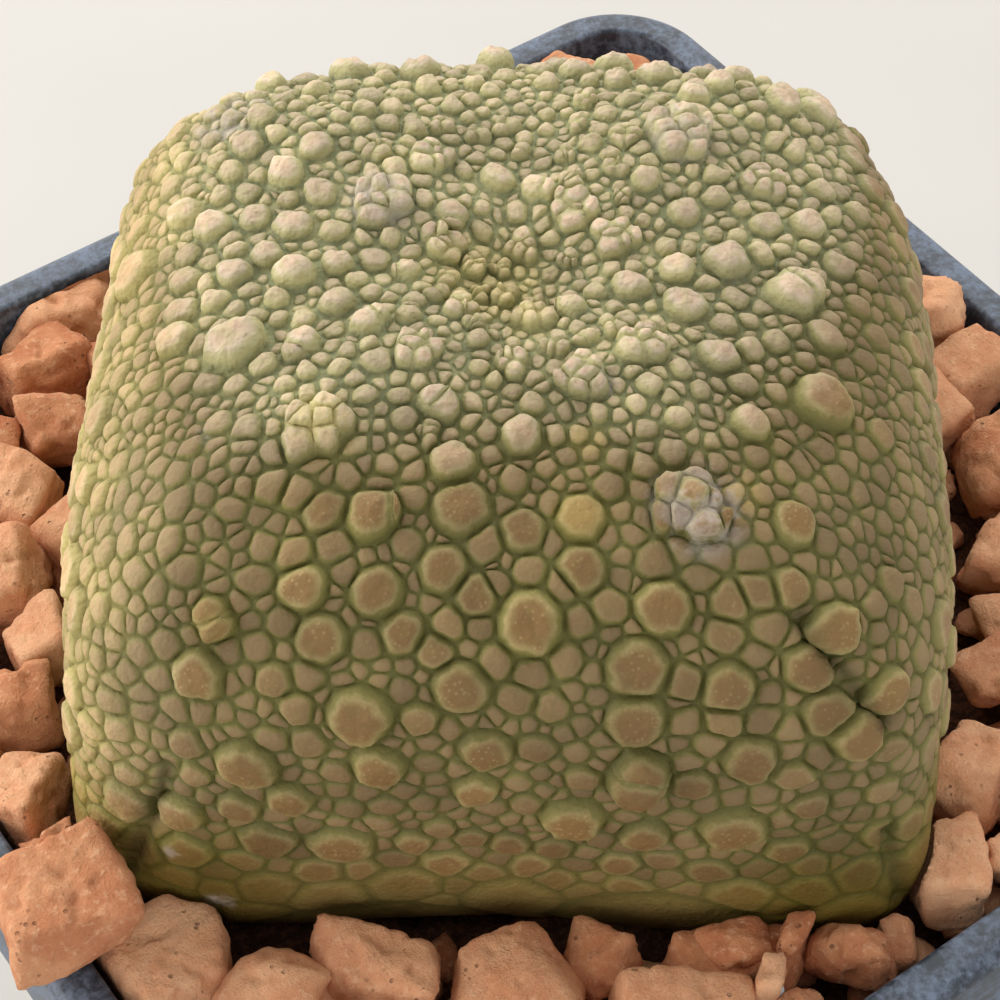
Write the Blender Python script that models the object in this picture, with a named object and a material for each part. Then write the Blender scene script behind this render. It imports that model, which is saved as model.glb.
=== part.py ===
"""A four-angled pseudolithos in a square plastic pot, top-dressed with crushed clay gravel.

Metres, +Z up. The origin is the middle of the pot's foot and the pot's sides lie along X and Y.
"""

import math
import random

import bmesh
import bpy
from mathutils import Matrix, Vector

MM = 0.001
GAP = 0.3 * MM  # between touching pieces
SAME_LEVEL = 0.01 * MM
CORNER_SEGMENTS = 5
ROUNDING_SEGMENTS = 2
SMOOTH_ANGLE = math.radians(40)  # edges that turn less than this are shaded smooth
HOLE_SEGMENTS = 16

# Pot
POT_SIDE = 70.0 * MM  # across the collar's top
POT_HEIGHT = 65.0 * MM
FOOT_SIDE = 51.0 * MM
WALL = 1.2 * MM
FLOOR = 1.6 * MM
CORNER_RADIUS = 6.5 * MM  # of the collar's upright corners
COLLAR_HEIGHT = 9.0 * MM
COLLAR_STEP = 1.2 * MM  # how far the collar stands out from the wall
COLLAR_DRAFT = 0.4 * MM  # how far the collar's foot is drawn in from its top
RIM_ROUNDING = 0.9 * MM
FOOT_ROUNDING = 0.8 * MM
DRAIN_DIAMETER = 6.0 * MM
DRAIN_OFFSET = 14.0 * MM  # from the pot's axis along X and Y

# Plant: a rounded cube about its own centre, which lies on the level where it is widest
PLANT_OFFSET = Vector((-1.1 * MM, -0.5 * MM))  # of its axis from the pot's
PLANT_TURN = math.radians(-37.3)
HALF_WIDTH = 22.3 * MM  # without tubercles
HALF_DEPTH = 22.8 * MM
CROWN = 17.0 * MM  # height of the shoulders above the centre
BASE = 15.0 * MM  # depth of the underside below the centre
CENTRE_OVER_RIM = 5.5 * MM
CROWN_ROUNDNESS = 3.0  # exponent from the axis to the sides, 2 would be an ellipse
BASE_ROUNDNESS = 3.8
SQUARENESS = 4.2  # exponent of the plan at the centre's level
SQUARENESS_FALL = 1.9  # how much rounder the plan gets towards the crown
SQUARENESS_RISE = 6.0  # how much squarer it gets towards the underside
FACE_HOLLOW = 0.045  # depth of the four faces between the ridges, at the foot, as a part of the radius
FACE_HOLLOW_RISE = (0.9, 1.9)  # angles from the crown over which it sets in
DIMPLE = 0.11  # depth of the sunken crown, as a part of the radius
DIMPLE_SPREAD = 0.5  # in radians from the axis
RIDGES = ((55, 46), (133, 146), (228, 223), (304, 315))  # degrees round the axis, at the crown and the foot
RIDGE_HEIGHT = 0.9 * MM
RIDGE_WIDTH = 2.4 * MM
RIDGE_RISE = (0.10, 0.35)  # angles from the crown over which the ridges rise
RIDGE_SWING = (0.3, 1.6)  # over which they go from their upper to their lower place
RIDGE_FADE = (1.75, 2.30)  # over which they fade out under the plant

# Root, a tapered cone that stands in a plain hole in the soil
ROOT_LENGTH = 17.0 * MM  # below the underside
ROOT_SUNK = 4.0 * MM  # inside the body
ROOT_TOP_RADIUS = 5.0 * MM
ROOT_TIP_RADIUS = 1.2 * MM
ROOT_SEGMENTS = 14

# Tubercles
PLANT_SEED = 11
TUBERCLE_SIZES = (  # (angle from the crown in radians, usual radius)
    (0.00, 0.90 * MM),
    (0.45, 1.10 * MM),
    (0.90, 1.45 * MM),
    (1.55, 1.68 * MM),
    (1.85, 2.10 * MM),
    (2.20, 4.20 * MM),
    (math.pi, 5.60 * MM),
)
TUBERCLE_CLASSES = ((1.45, 900), (1.15, 2500), (0.85, 6000), (0.62, 12000))  # (size, tries), largest first
TUBERCLE_SPREAD = 0.1  # of the sizes in a class
TUBERCLE_SPACING = 0.93  # of the two radii, between neighbours
TUBERCLE_RELIEF = 0.42  # height of a dome's shoulder, as a part of its radius
TUBERCLE_CROWN = 0.25  # height of its middle over its shoulder, as a part of that
TUBERCLE_TOP = 0.68  # width of its flat top, as a part of its foot
SHORTEST_EDGE = 0.35 * MM
HEM_LEVEL = 0.5 * MM  # below the centre, where the tubercles start to flatten
HEM_DEPTH = 5.0 * MM
HEM_RELIEF = 0.18  # of the full height, below the hem

# Soil and gravel
SOIL_CLEARANCE = 0.9 * MM  # under the plant
BED_TOP = POT_HEIGHT - 2.8 * MM
HEAP_ROOM = 8.0 * MM  # over the rim, more than any stone rises
STONE_CORNERS = (0.55, 1.0)  # how far a stone's corners reach towards its box's
STONE_SKEW = 0.09  # how far a corner is off, as a part of the box
STONE_BULGE = 0.18  # how far the point on a side is off its middle, the same way
STONE_TILT = math.radians(14)
STONE_SUNK = 0.30  # of a stone's height, below the bed's top
STONE_SHIFT = 0.4 * MM  # up or down from there
GRAVEL_SEED = 5
FILL_SIZES = (7.2 * MM, 6.0 * MM, 4.8 * MM, 3.6 * MM)  # lengths of the stones that fill in, largest first
FILL_SPREAD = 0.15  # of the lengths
FILL_WIDTH = (0.65, 0.90)  # least and most, as a part of the length
FILL_HEIGHT = (0.60, 0.85)
FILL_TRIES = 300
FILL_SPACING = 0.80  # of the two mean radii, between neighbours when they are dropped
SETTLED_SPACING = 0.95  # the same after they have pushed each other apart
SETTLING_ROUNDS = 40
ELBOW_ROOM = 0.8  # of its mean radius, that a stone keeps from the wall and from the plant
REACH_LEVEL = 0.25  # of a stone's height over the bed, where it is kept clear of the plant
REACH_BAND = 1.5 * MM  # above and below that level
REACH_STEPS = 60
CLEARANCE_STEPS = 4  # subdivisions of the cutter that keeps gravel clear of the plant
CLEARANCE_SAG = 0.3 * MM  # how far that cutter's flat faces may lie inside its form

# Stones that lie where they lie on the real plant, in millimetres from its axis, seen from the front:
# (right, back, length, width, height, turn in degrees)
PLACED_STONES = (
    (-22.5, -23.0, 8.4, 7.4, 5.6, 20),
    (-16.4, -27.0, 8.0, 6.8, 5.4, 35),
    (-10.6, -27.6, 6.4, 4.6, 4.6, 160),
    (-5.8, -26.0, 8.2, 4.4, 4.4, 172),
    (0.2, -28.2, 8.0, 6.4, 5.2, 12),
    (4.8, -25.6, 4.8, 3.8, 3.6, 160),
    (8.6, -29.4, 7.4, 5.0, 4.4, 170),
    (10.6, -26.0, 4.4, 3.6, 3.6, 20),
    (13.8, -25.0, 4.2, 2.2, 3.4, 65),
    (17.2, -24.6, 5.0, 3.0, 3.4, 165),
    (14.6, -28.0, 3.2, 2.6, 2.8, 40),
    (22.4, -19.0, 5.6, 4.4, 4.6, 95),
    (24.6, -12.6, 6.6, 4.6, 4.8, 60),
    (26.0, -6.4, 4.0, 3.6, 3.6, 20),
    (27.0, -2.4, 4.2, 3.8, 3.8, 110),
    (27.4, 2.4, 5.0, 4.2, 4.2, 80),
    (27.6, 9.0, 7.0, 4.6, 4.8, 100),
    (27.0, 16.0, 5.0, 4.4, 4.4, 30),
    (-25.0, -15.6, 6.4, 5.4, 5.0, 70),
    (-26.0, -9.8, 4.6, 3.8, 3.8, 10),
    (-25.6, -5.6, 4.6, 4.0, 4.0, 120),
    (-28.0, -1.2, 5.8, 4.6, 4.6, 95),
    (-28.0, 4.6, 6.0, 4.6, 4.8, 80),
    (-26.8, 10.0, 4.4, 3.8, 4.0, 20),
    (-29.0, 14.4, 6.4, 4.8, 5.0, 40),
    (-28.4, 20.0, 7.4, 5.6, 5.4, 25),
)

# Colours from the photograph, linear
PLANT_COLOUR = (0.290, 0.270, 0.130, 1.0)
GRAVEL_COLOUR = (0.550, 0.215, 0.115, 1.0)
POT_COLOUR = (0.030, 0.038, 0.050, 1.0)
SOIL_COLOUR = (0.060, 0.040, 0.028, 1.0)

PLANT_CENTRE = Vector((PLANT_OFFSET.x, PLANT_OFFSET.y, POT_HEIGHT + CENTRE_OVER_RIM))
UNDERSIDE = PLANT_CENTRE.z - BASE
SOIL_TOP = UNDERSIDE - SOIL_CLEARANCE


def clear_scene():
    for obj in list(bpy.data.objects):
        bpy.data.objects.remove(obj, do_unlink=True)
    for collection in list(bpy.data.collections):
        bpy.data.collections.remove(collection)


def new_collection(name):
    collection = bpy.data.collections.new(name)
    bpy.context.scene.collection.children.link(collection)
    return collection


def new_material(name, colour, roughness):
    material = bpy.data.materials.new(name)
    material.use_nodes = True
    shader = material.node_tree.nodes["Principled BSDF"]
    shader.inputs["Base Color"].default_value = colour
    shader.inputs["Roughness"].default_value = roughness
    shader.inputs["Metallic"].default_value = 0.0
    material.diffuse_color = colour
    return material


def new_object(name, bm, collection):
    """An object that holds bm's mesh with its faces pointing out, shaded smooth but for its sharp edges."""
    bmesh.ops.recalc_face_normals(bm, faces=bm.faces)
    mesh = bpy.data.meshes.new(name)
    bm.to_mesh(mesh)
    bm.free()
    mesh.shade_smooth()
    mesh.set_sharp_from_angle(angle=SMOOTH_ANGLE)
    obj = bpy.data.objects.new(name, mesh)
    collection.objects.link(obj)
    return obj


def as_cutter(obj):
    obj.hide_render = True
    obj.display_type = "WIRE"
    return obj


def apply_modifiers(obj):
    """Replaces the object's mesh by its evaluated one."""
    graph = bpy.context.evaluated_depsgraph_get()
    mesh = bpy.data.meshes.new_from_object(obj.evaluated_get(graph))
    obj.modifiers.clear()
    obj.data = mesh


def boolean(obj, other, operation):
    """Adds a Boolean of the object with another object, or with all those of a collection."""
    modifier = obj.modifiers.new(operation.title(), "BOOLEAN")
    modifier.operation = operation
    modifier.solver = "EXACT"
    if isinstance(other, bpy.types.Collection):
        modifier.operand_type = "COLLECTION"
        modifier.collection = other
    else:
        modifier.object = other
    return modifier


def drop_scraps(obj):
    """Keeps only the largest connected body of the object's mesh."""
    bm = bmesh.new()
    bm.from_mesh(obj.data)
    unseen = set(bm.verts)
    bodies = []
    while unseen:
        body, edge = set(), {unseen.pop()}
        while edge:
            body |= edge
            edge = {e.other_vert(v) for v in edge for e in v.link_edges} - body
        unseen -= body
        bodies.append(body)
    bodies.sort(key=len)
    for body in bodies[:-1]:
        bmesh.ops.delete(bm, geom=list(body), context="VERTS")
    bm.to_mesh(obj.data)
    bm.free()


def between(value, start, end):
    """0 at start, 1 at end, eased in between."""
    t = min(1.0, max(0.0, (value - start) / (end - start)))
    return t * t * (3.0 - 2.0 * t)


def tapered_block(low_side, high_side, low, high, corner):
    """A bmesh of a square block that widens upwards, with round upright corners."""
    bm = bmesh.new()
    bmesh.ops.create_cube(bm, size=1.0)
    for vert in bm.verts:
        side, level = (high_side, high) if vert.co.z > 0 else (low_side, low)
        vert.co = Vector((vert.co.x * side, vert.co.y * side, level))
    upright = [e for e in bm.edges if abs(e.verts[0].co.z - e.verts[1].co.z) > 0.5 * (high - low)]
    bmesh.ops.bevel(
        bm, geom=upright, offset=corner, segments=CORNER_SEGMENTS, profile=0.5, affect="EDGES"
    )
    return bm


def round_edges(bm, edges, radius):
    bmesh.ops.bevel(
        bm, geom=edges, offset=radius, segments=ROUNDING_SEGMENTS, profile=0.5, affect="EDGES"
    )


def wall_side(level, inset):
    """Outer side of the pot's wall at a level, less an inset on each side."""
    top_side = POT_SIDE - 2 * COLLAR_STEP
    return FOOT_SIDE + (top_side - FOOT_SIDE) * level / POT_HEIGHT - 2 * inset


def wall_block(low, high, inset):
    """A block that follows the pot's wall between two levels, drawn in by an inset."""
    corner = CORNER_RADIUS - COLLAR_STEP - inset
    return tapered_block(wall_side(low, inset), wall_side(high, inset), low, high, corner)


def make_pot(parts, cutters):
    wall_bm = wall_block(0.0, POT_HEIGHT - 0.5 * COLLAR_HEIGHT, 0.0)
    foot = [e for e in wall_bm.edges if max(v.co.z for v in e.verts) < SAME_LEVEL]
    round_edges(wall_bm, foot, FOOT_ROUNDING)
    pot = new_object("pot", wall_bm, parts)

    collar_foot = POT_HEIGHT - COLLAR_HEIGHT
    collar_bm = tapered_block(
        POT_SIDE - 2 * COLLAR_DRAFT, POT_SIDE, collar_foot, POT_HEIGHT, CORNER_RADIUS
    )
    rim = [e for e in collar_bm.edges if min(v.co.z for v in e.verts) > POT_HEIGHT - SAME_LEVEL]
    round_edges(collar_bm, rim, RIM_ROUNDING)
    boolean(pot, as_cutter(new_object("pot_collar", collar_bm, cutters)), "UNION")

    cavity = new_object("pot_cavity", wall_block(FLOOR, POT_HEIGHT + WALL, WALL), cutters)
    boolean(pot, as_cutter(cavity), "DIFFERENCE")

    drain_bm = bmesh.new()
    for x in (-DRAIN_OFFSET, DRAIN_OFFSET):
        for y in (-DRAIN_OFFSET, DRAIN_OFFSET):
            bmesh.ops.create_cone(
                drain_bm,
                cap_ends=True,
                segments=HOLE_SEGMENTS,
                radius1=0.5 * DRAIN_DIAMETER,
                radius2=0.5 * DRAIN_DIAMETER,
                depth=4 * FLOOR,
                matrix=Matrix.Translation((x, y, 0.5 * FLOOR)),
            )
    boolean(pot, as_cutter(new_object("pot_drains", drain_bm, cutters)), "DIFFERENCE")
    return pot


def make_root(name, collection, grown):
    """The root's cone, grown by a margin on its sides and its tip."""
    length = ROOT_LENGTH + ROOT_SUNK
    slope = (ROOT_TOP_RADIUS - ROOT_TIP_RADIUS) / length
    bm = bmesh.new()
    bmesh.ops.create_cone(
        bm,
        cap_ends=True,
        segments=ROOT_SEGMENTS,
        radius1=ROOT_TIP_RADIUS + grown - slope * grown,
        radius2=ROOT_TOP_RADIUS + grown,
        depth=length + grown,
    )
    obj = new_object(name, bm, collection)
    obj.location = (
        PLANT_CENTRE.x,
        PLANT_CENTRE.y,
        UNDERSIDE + ROOT_SUNK - 0.5 * (length + grown),
    )
    return obj


def make_substrate(parts, cutters):
    bm = wall_block(FLOOR + GAP, SOIL_TOP, WALL + GAP)
    substrate = new_object("substrate", bm, parts)
    boolean(substrate, as_cutter(make_root("root_hole", cutters, GAP)), "DIFFERENCE")
    return substrate


def ridge_height(polar, azimuth, radius):
    """How far the four ridges lift the skin: full on the shoulders, gone at the crown and the underside."""
    along = between(polar, *RIDGE_RISE) * (1.0 - between(polar, *RIDGE_FADE))
    height = 0.0
    for high, low in RIDGES:
        ridge = math.radians(high + (low - high) * between(polar, *RIDGE_SWING))
        turn = math.remainder(azimuth - ridge, 2 * math.pi)
        across = turn * radius * math.sin(polar) / RIDGE_WIDTH
        height = max(height, math.exp(-0.5 * across * across))
    return RIDGE_HEIGHT * along * height


def skin_radius(d):
    """Distance from the plant's centre to its skin along the unit vector d, without tubercles."""
    if d.z > 0:
        half_height, roundness, squareness = CROWN, CROWN_ROUNDNESS, SQUARENESS - SQUARENESS_FALL * d.z
    else:
        half_height, roundness, squareness = BASE, BASE_ROUNDNESS, SQUARENESS - SQUARENESS_RISE * d.z
    # The two exponents meet at the centre's level, where the upright term is nought
    plan = abs(d.x / HALF_WIDTH) ** squareness + abs(d.y / HALF_DEPTH) ** squareness
    upright = abs(d.z / half_height) ** roundness
    radius = (plan ** (roundness / squareness) + upright) ** (-1.0 / roundness)
    polar = math.acos(max(-1.0, min(1.0, d.z)))
    radius *= 1.0 - DIMPLE * math.exp(-((polar / DIMPLE_SPREAD) ** 2))
    azimuth = math.atan2(d.y, d.x)
    mid_face = 0.5 + 0.5 * math.cos(4 * azimuth)
    radius *= 1.0 - FACE_HOLLOW * mid_face * between(polar, *FACE_HOLLOW_RISE)
    return radius + ridge_height(polar, azimuth, radius)


def usual_size(polar):
    """Usual radius of a tubercle at an angle from the crown."""
    for (a, low), (b, high) in zip(TUBERCLE_SIZES, TUBERCLE_SIZES[1:]):
        if polar <= b:
            return low + (high - low) * (polar - a) / (b - a)
    return TUBERCLE_SIZES[-1][1]


def largest_size(d):
    """Radius of the largest tubercles along the unit vector d."""
    return usual_size(math.acos(d.z)) * TUBERCLE_CLASSES[0][0] * (1 + TUBERCLE_SPREAD)


def relief(level):
    """Share of the full relief that tubercles have at a level over the plant's centre."""
    return 1.0 - (1.0 - HEM_RELIEF) * between(-level, HEM_LEVEL, HEM_LEVEL + HEM_DEPTH)


def scatter_tubercles():
    """[(direction, radius)]: tubercles packed over the whole skin, the largest first."""
    rng = random.Random(PLANT_SEED)
    found = []
    for scale, tries in TUBERCLE_CLASSES:
        for _ in range(tries):
            z = rng.uniform(-1.0, 1.0)
            turn = rng.uniform(0.0, 2 * math.pi)
            ring = math.sqrt(1.0 - z * z)
            direction = Vector((ring * math.cos(turn), ring * math.sin(turn), z))
            spread = rng.uniform(1 - TUBERCLE_SPREAD, 1 + TUBERCLE_SPREAD)
            size = usual_size(math.acos(z)) * scale * spread
            point = direction * skin_radius(direction)
            clear = all(
                (point - other).length > TUBERCLE_SPACING * (size + other_size)
                for other, other_size in found
            )
            if clear:
                found.append((point, size))
    return [(point.normalized(), size / point.length) for point, size in found]


def skin_cells(tubercles):
    """A bmesh of the skin with one face for each tubercle: the dual of the hull of their lifted directions."""
    hull = bmesh.new()
    for direction, angle in tubercles:
        hull.verts.new(direction / math.cos(angle))
    made = bmesh.ops.convex_hull(hull, input=hull.verts, use_existing_faces=False)
    loose = [item for item in made["geom_interior"] if isinstance(item, bmesh.types.BMVert)]
    bmesh.ops.delete(hull, geom=loose, context="VERTS")
    bmesh.ops.recalc_face_normals(hull, faces=hull.faces)
    hull.faces.index_update()
    hull.normal_update()

    skin = bmesh.new()
    corners = [skin.verts.new(f.normal * skin_radius(f.normal)) for f in hull.faces]
    for vert in hull.verts:
        loop = vert.link_loops[0]
        around = []
        for _ in vert.link_loops:
            around.append(corners[loop.face.index])
            loop = loop.link_loop_prev.link_loop_radial_next
        skin.faces.new(around)
    hull.free()
    bmesh.ops.dissolve_degenerate(skin, edges=skin.edges, dist=SHORTEST_EDGE)
    skin.normal_update()
    return skin


def raise_tubercles(skin):
    """Lifts each cell above the groove round it, into a dome with a flat top."""
    cells = list(skin.faces)
    domes = []
    for face in cells:
        middle = face.calc_center_median()
        radius = min(math.sqrt(face.calc_area() / math.pi), largest_size(middle.normalized()))
        height = TUBERCLE_RELIEF * radius * relief(middle.z)
        domes.append((face, middle, face.normal.copy(), height))
    bmesh.ops.inset_individual(skin, faces=cells, thickness=0.0, use_even_offset=False)
    for face, middle, normal, height in domes:
        for vert in face.verts:
            vert.co = middle + (vert.co - middle) * TUBERCLE_TOP + normal * height
        bmesh.ops.poke(skin, faces=[face], offset=TUBERCLE_CROWN * height)


def make_plant(parts, cutters):
    skin = skin_cells(scatter_tubercles())
    raise_tubercles(skin)
    plant = new_object("pseudolithos", skin, parts)
    plant.location = PLANT_CENTRE
    plant.rotation_euler.z = PLANT_TURN
    boolean(plant, as_cutter(make_root("root", cutters, 0.0)), "UNION")
    return plant


def make_clearance(cutters):
    """The plant's smooth form, grown to clear its tallest tubercles by the gap."""
    bm = bmesh.new()
    bmesh.ops.create_icosphere(bm, subdivisions=CLEARANCE_STEPS, radius=1.0)
    for vert in bm.verts:
        direction = vert.co.normalized()
        radius = skin_radius(direction)
        dome = TUBERCLE_RELIEF * (1 + TUBERCLE_CROWN) * largest_size(direction)
        vert.co = direction * (radius + dome * relief(direction.z * radius) + CLEARANCE_SAG + GAP)
    clearance = new_object("plant_clearance", bm, cutters)
    clearance.location = PLANT_CENTRE
    clearance.rotation_euler.z = PLANT_TURN
    return as_cutter(clearance)


def stone_mesh(rng, sizes):
    """A bmesh of one crushed stone: the hull of a box whose corners are knocked in, with a few bulges."""
    bm = bmesh.new()
    for x in (-0.5, 0.5):
        for y in (-0.5, 0.5):
            for z in (-0.5, 0.5):
                skew = Vector([rng.uniform(-STONE_SKEW, STONE_SKEW) for _ in range(3)])
                bm.verts.new(Vector((x, y, z)) * rng.uniform(*STONE_CORNERS) + skew)
    for axis in range(3):
        bulge = Vector([rng.uniform(-STONE_BULGE, STONE_BULGE) for _ in range(3)])
        bulge[axis] = rng.choice((-0.5, 0.5))
        bm.verts.new(bulge)
    for vert in bm.verts:
        vert.co = Vector([c * size for c, size in zip(vert.co, sizes)])
    made = bmesh.ops.convex_hull(bm, input=bm.verts, use_existing_faces=False)
    loose = [item for item in made["geom_interior"] if isinstance(item, bmesh.types.BMVert)]
    bmesh.ops.delete(bm, geom=loose, context="VERTS")
    return bm


def plant_reach(direction, level):
    """How far the plant reaches from its axis at a level over its centre, towards a direction in plan."""
    reach = 0.0
    for step in range(1, REACH_STEPS):
        polar = math.pi * step / REACH_STEPS
        d = Vector((direction.x * math.sin(polar), direction.y * math.sin(polar), math.cos(polar)))
        point = d * skin_radius(d)
        if abs(point.z - level) < REACH_BAND:
            reach = max(reach, math.hypot(point.x, point.y))
    return reach


class Stone:
    """A stone's place in the pot's frame, its sizes and its turn."""

    def __init__(self, spot, sizes, turn, fixed):
        self.spot = spot
        self.sizes = sizes
        self.turn = turn
        self.fixed = fixed
        self.radius = 0.25 * (sizes[0] + sizes[1])


def placed_stones():
    to_pot = Matrix.Rotation(PLANT_TURN, 2)
    stones = []
    for right, back, length, width, height, turn in PLACED_STONES:
        spot = to_pot @ Vector((right, back)) * MM + PLANT_OFFSET
        sizes = (length * MM, width * MM, height * MM)
        stones.append(Stone(spot, sizes, math.radians(turn) + PLANT_TURN, True))
    return stones


def keep_in_room(stone):
    """Moves a stone between the plant and the pot's wall. False if it doesn't fit there."""
    inside = 0.5 * wall_side(BED_TOP, WALL)
    elbow = ELBOW_ROOM * stone.radius
    margin = inside - elbow
    spot = Vector([max(-margin, min(margin, c)) for c in stone.spot])
    round_from = inside - CORNER_RADIUS
    corner = Vector([abs(c) - round_from for c in spot])
    reach = CORNER_RADIUS - elbow
    if min(corner) > 0 and corner.length > reach:
        corner *= reach / corner.length
        spot = Vector([math.copysign(round_from + c, s) for c, s in zip(corner, spot)])
    from_plant = Matrix.Rotation(-PLANT_TURN, 2) @ (spot - PLANT_OFFSET)
    level = BED_TOP + REACH_LEVEL * stone.sizes[2] - PLANT_CENTRE.z
    keep_out = plant_reach(from_plant.normalized(), level) + elbow
    stone.spot = spot
    return from_plant.length > keep_out


def settle(stones):
    """Neighbours that lie too close push each other apart, and the placed ones stay."""
    for _ in range(SETTLING_ROUNDS):
        for i, one in enumerate(stones):
            for other in stones[:i]:
                apart = one.spot - other.spot
                wanted = SETTLED_SPACING * (one.radius + other.radius)
                if apart.length >= wanted or (one.fixed and other.fixed):
                    continue
                push = apart.normalized() * 0.5 * (wanted - apart.length)
                if not one.fixed:
                    one.spot += push
                if not other.fixed:
                    other.spot -= push
        stones = [s for s in stones if s.fixed or keep_in_room(s)]
    return stones


def lay_stones(rng):
    """The placed stones and those that fill in between them."""
    stones = placed_stones()
    inside = 0.5 * wall_side(BED_TOP, WALL)
    for length in FILL_SIZES:
        for _ in range(FILL_TRIES):
            size = length * rng.uniform(1 - FILL_SPREAD, 1 + FILL_SPREAD)
            sizes = (size, size * rng.uniform(*FILL_WIDTH), size * rng.uniform(*FILL_HEIGHT))
            spot = Vector((rng.uniform(-inside, inside), rng.uniform(-inside, inside)))
            dropped = Stone(spot, sizes, rng.uniform(0.0, 2 * math.pi), False)
            close = any(
                (spot - s.spot).length < FILL_SPACING * (dropped.radius + s.radius) for s in stones
            )
            if not close and keep_in_room(dropped):
                stones.append(dropped)
    return settle(stones)


def make_gravel(parts, cutters):
    rng = random.Random(GRAVEL_SEED)
    # The bed starts as wide as the pot, and is trimmed to the room inside together with its stones
    gravel = new_object("gravel", wall_block(SOIL_TOP + GAP, BED_TOP, 0.0), parts)

    heap = new_collection("loose_stones")
    for index, stone in enumerate(lay_stones(rng)):
        obj = new_object(f"stone_{index}", stone_mesh(rng, stone.sizes), heap)
        level = BED_TOP + (0.5 - STONE_SUNK) * stone.sizes[2]
        obj.location = (*stone.spot, level + rng.uniform(-1, 1) * STONE_SHIFT)
        tilt = [rng.uniform(-STONE_TILT, STONE_TILT) for _ in range(2)]
        obj.rotation_euler = (*tilt, stone.turn)
    boolean(gravel, heap, "UNION")
    bpy.context.view_layer.update()
    apply_modifiers(gravel)
    for obj in list(heap.objects):
        bpy.data.objects.remove(obj, do_unlink=True)
    bpy.data.collections.remove(heap)

    room = new_object("gravel_room", wall_block(SOIL_TOP, POT_HEIGHT + HEAP_ROOM, WALL + GAP), cutters)
    boolean(gravel, as_cutter(room), "INTERSECT")
    boolean(gravel, make_clearance(cutters), "DIFFERENCE")
    bpy.context.view_layer.update()
    apply_modifiers(gravel)
    drop_scraps(gravel)
    return gravel


def main():
    clear_scene()
    parts = new_collection("potted_pseudolithos")
    cutters = new_collection("cutters")
    pot = make_pot(parts, cutters)
    pot.data.materials.append(new_material("dark_pot_plastic", POT_COLOUR, 0.45))
    substrate = make_substrate(parts, cutters)
    substrate.data.materials.append(new_material("potting_soil", SOIL_COLOUR, 0.95))
    gravel = make_gravel(parts, cutters)
    gravel.data.materials.append(new_material("crushed_clay", GRAVEL_COLOUR, 0.9))
    plant = make_plant(parts, cutters)
    plant.data.materials.append(new_material("pseudolithos_skin", PLANT_COLOUR, 0.6))


main()
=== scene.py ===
"""The looks of a potted pseudolithos: its warty skin, the crushed clay round it and its square plastic pot.

Metres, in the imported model's frame: +Z up, the origin in the middle of the pot's foot, the pot's sides along
X and Y. The plant has a frame of its own about its centre, turned so that its front faces -Y.
"""

import math
import random

import bmesh
import bpy
import numpy as np
from mathutils import Matrix, Vector, noise

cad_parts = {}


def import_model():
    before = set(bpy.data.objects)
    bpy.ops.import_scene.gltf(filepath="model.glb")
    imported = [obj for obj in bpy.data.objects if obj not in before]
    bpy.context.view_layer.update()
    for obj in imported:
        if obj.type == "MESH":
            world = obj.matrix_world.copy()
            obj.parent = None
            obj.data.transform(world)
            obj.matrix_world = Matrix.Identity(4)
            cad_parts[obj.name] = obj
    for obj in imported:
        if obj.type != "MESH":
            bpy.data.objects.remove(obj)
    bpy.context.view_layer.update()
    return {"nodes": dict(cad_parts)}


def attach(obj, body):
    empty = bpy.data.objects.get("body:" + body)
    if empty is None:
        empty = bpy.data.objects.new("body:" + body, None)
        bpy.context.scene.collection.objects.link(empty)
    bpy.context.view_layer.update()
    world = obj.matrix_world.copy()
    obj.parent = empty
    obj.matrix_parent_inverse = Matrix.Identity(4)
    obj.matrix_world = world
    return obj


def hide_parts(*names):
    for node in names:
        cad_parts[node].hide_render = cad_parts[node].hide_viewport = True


MM = 0.001
GAP = 0.3 * MM

# Pot, as its solid
POT_SIDE = 70.0 * MM
POT_HEIGHT = 65.0 * MM
FOOT_SIDE = 51.0 * MM
WALL = 1.2 * MM
FLOOR = 1.6 * MM
CORNER_RADIUS = 6.5 * MM
COLLAR_HEIGHT = 9.0 * MM
COLLAR_STEP = 1.2 * MM
COLLAR_DRAFT = 0.4 * MM
RIM_ROUNDING = 0.9 * MM
FOOT_ROUNDING = 0.8 * MM
DRAIN_DIAMETER = 6.0 * MM
DRAIN_OFFSET = 14.0 * MM
DRAIN_CUT = 4 * FLOOR  # length of the cylinders that cut the drains
CORNER_SEGMENTS = 18
ROUNDING_SEGMENTS = 6
HOLE_SEGMENTS = 40
SAME_LEVEL = 0.01 * MM
TINY = 1e-9

# Plant, as its solid: a rounded cube about its own centre
PLANT_OFFSET = Vector((-1.1 * MM, -0.5 * MM))
PLANT_TURN = math.radians(-37.3)
HALF_WIDTH = 22.3 * MM
HALF_DEPTH = 22.8 * MM
CROWN = 17.0 * MM
BASE = 15.0 * MM
CENTRE_OVER_RIM = 5.5 * MM
CROWN_ROUNDNESS = 3.0
BASE_ROUNDNESS = 3.8
SQUARENESS = 4.2
SQUARENESS_FALL = 1.9
SQUARENESS_RISE = 6.0
FACE_HOLLOW = 0.045
FACE_HOLLOW_RISE = (0.9, 1.9)
DIMPLE = 0.11
DIMPLE_SPREAD = 0.5
RIDGES = ((55, 46), (133, 146), (228, 223), (304, 315))
RIDGE_HEIGHT = 0.9 * MM
RIDGE_WIDTH = 2.4 * MM
RIDGE_RISE = (0.10, 0.35)
RIDGE_SWING = (0.3, 1.6)
RIDGE_FADE = (1.75, 2.30)
ROOT_LENGTH = 17.0 * MM
ROOT_SUNK = 4.0 * MM
ROOT_TOP_RADIUS = 5.0 * MM
ROOT_TIP_RADIUS = 1.2 * MM

PLANT_CENTRE = Vector((PLANT_OFFSET.x, PLANT_OFFSET.y, POT_HEIGHT + CENTRE_OVER_RIM))

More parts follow.
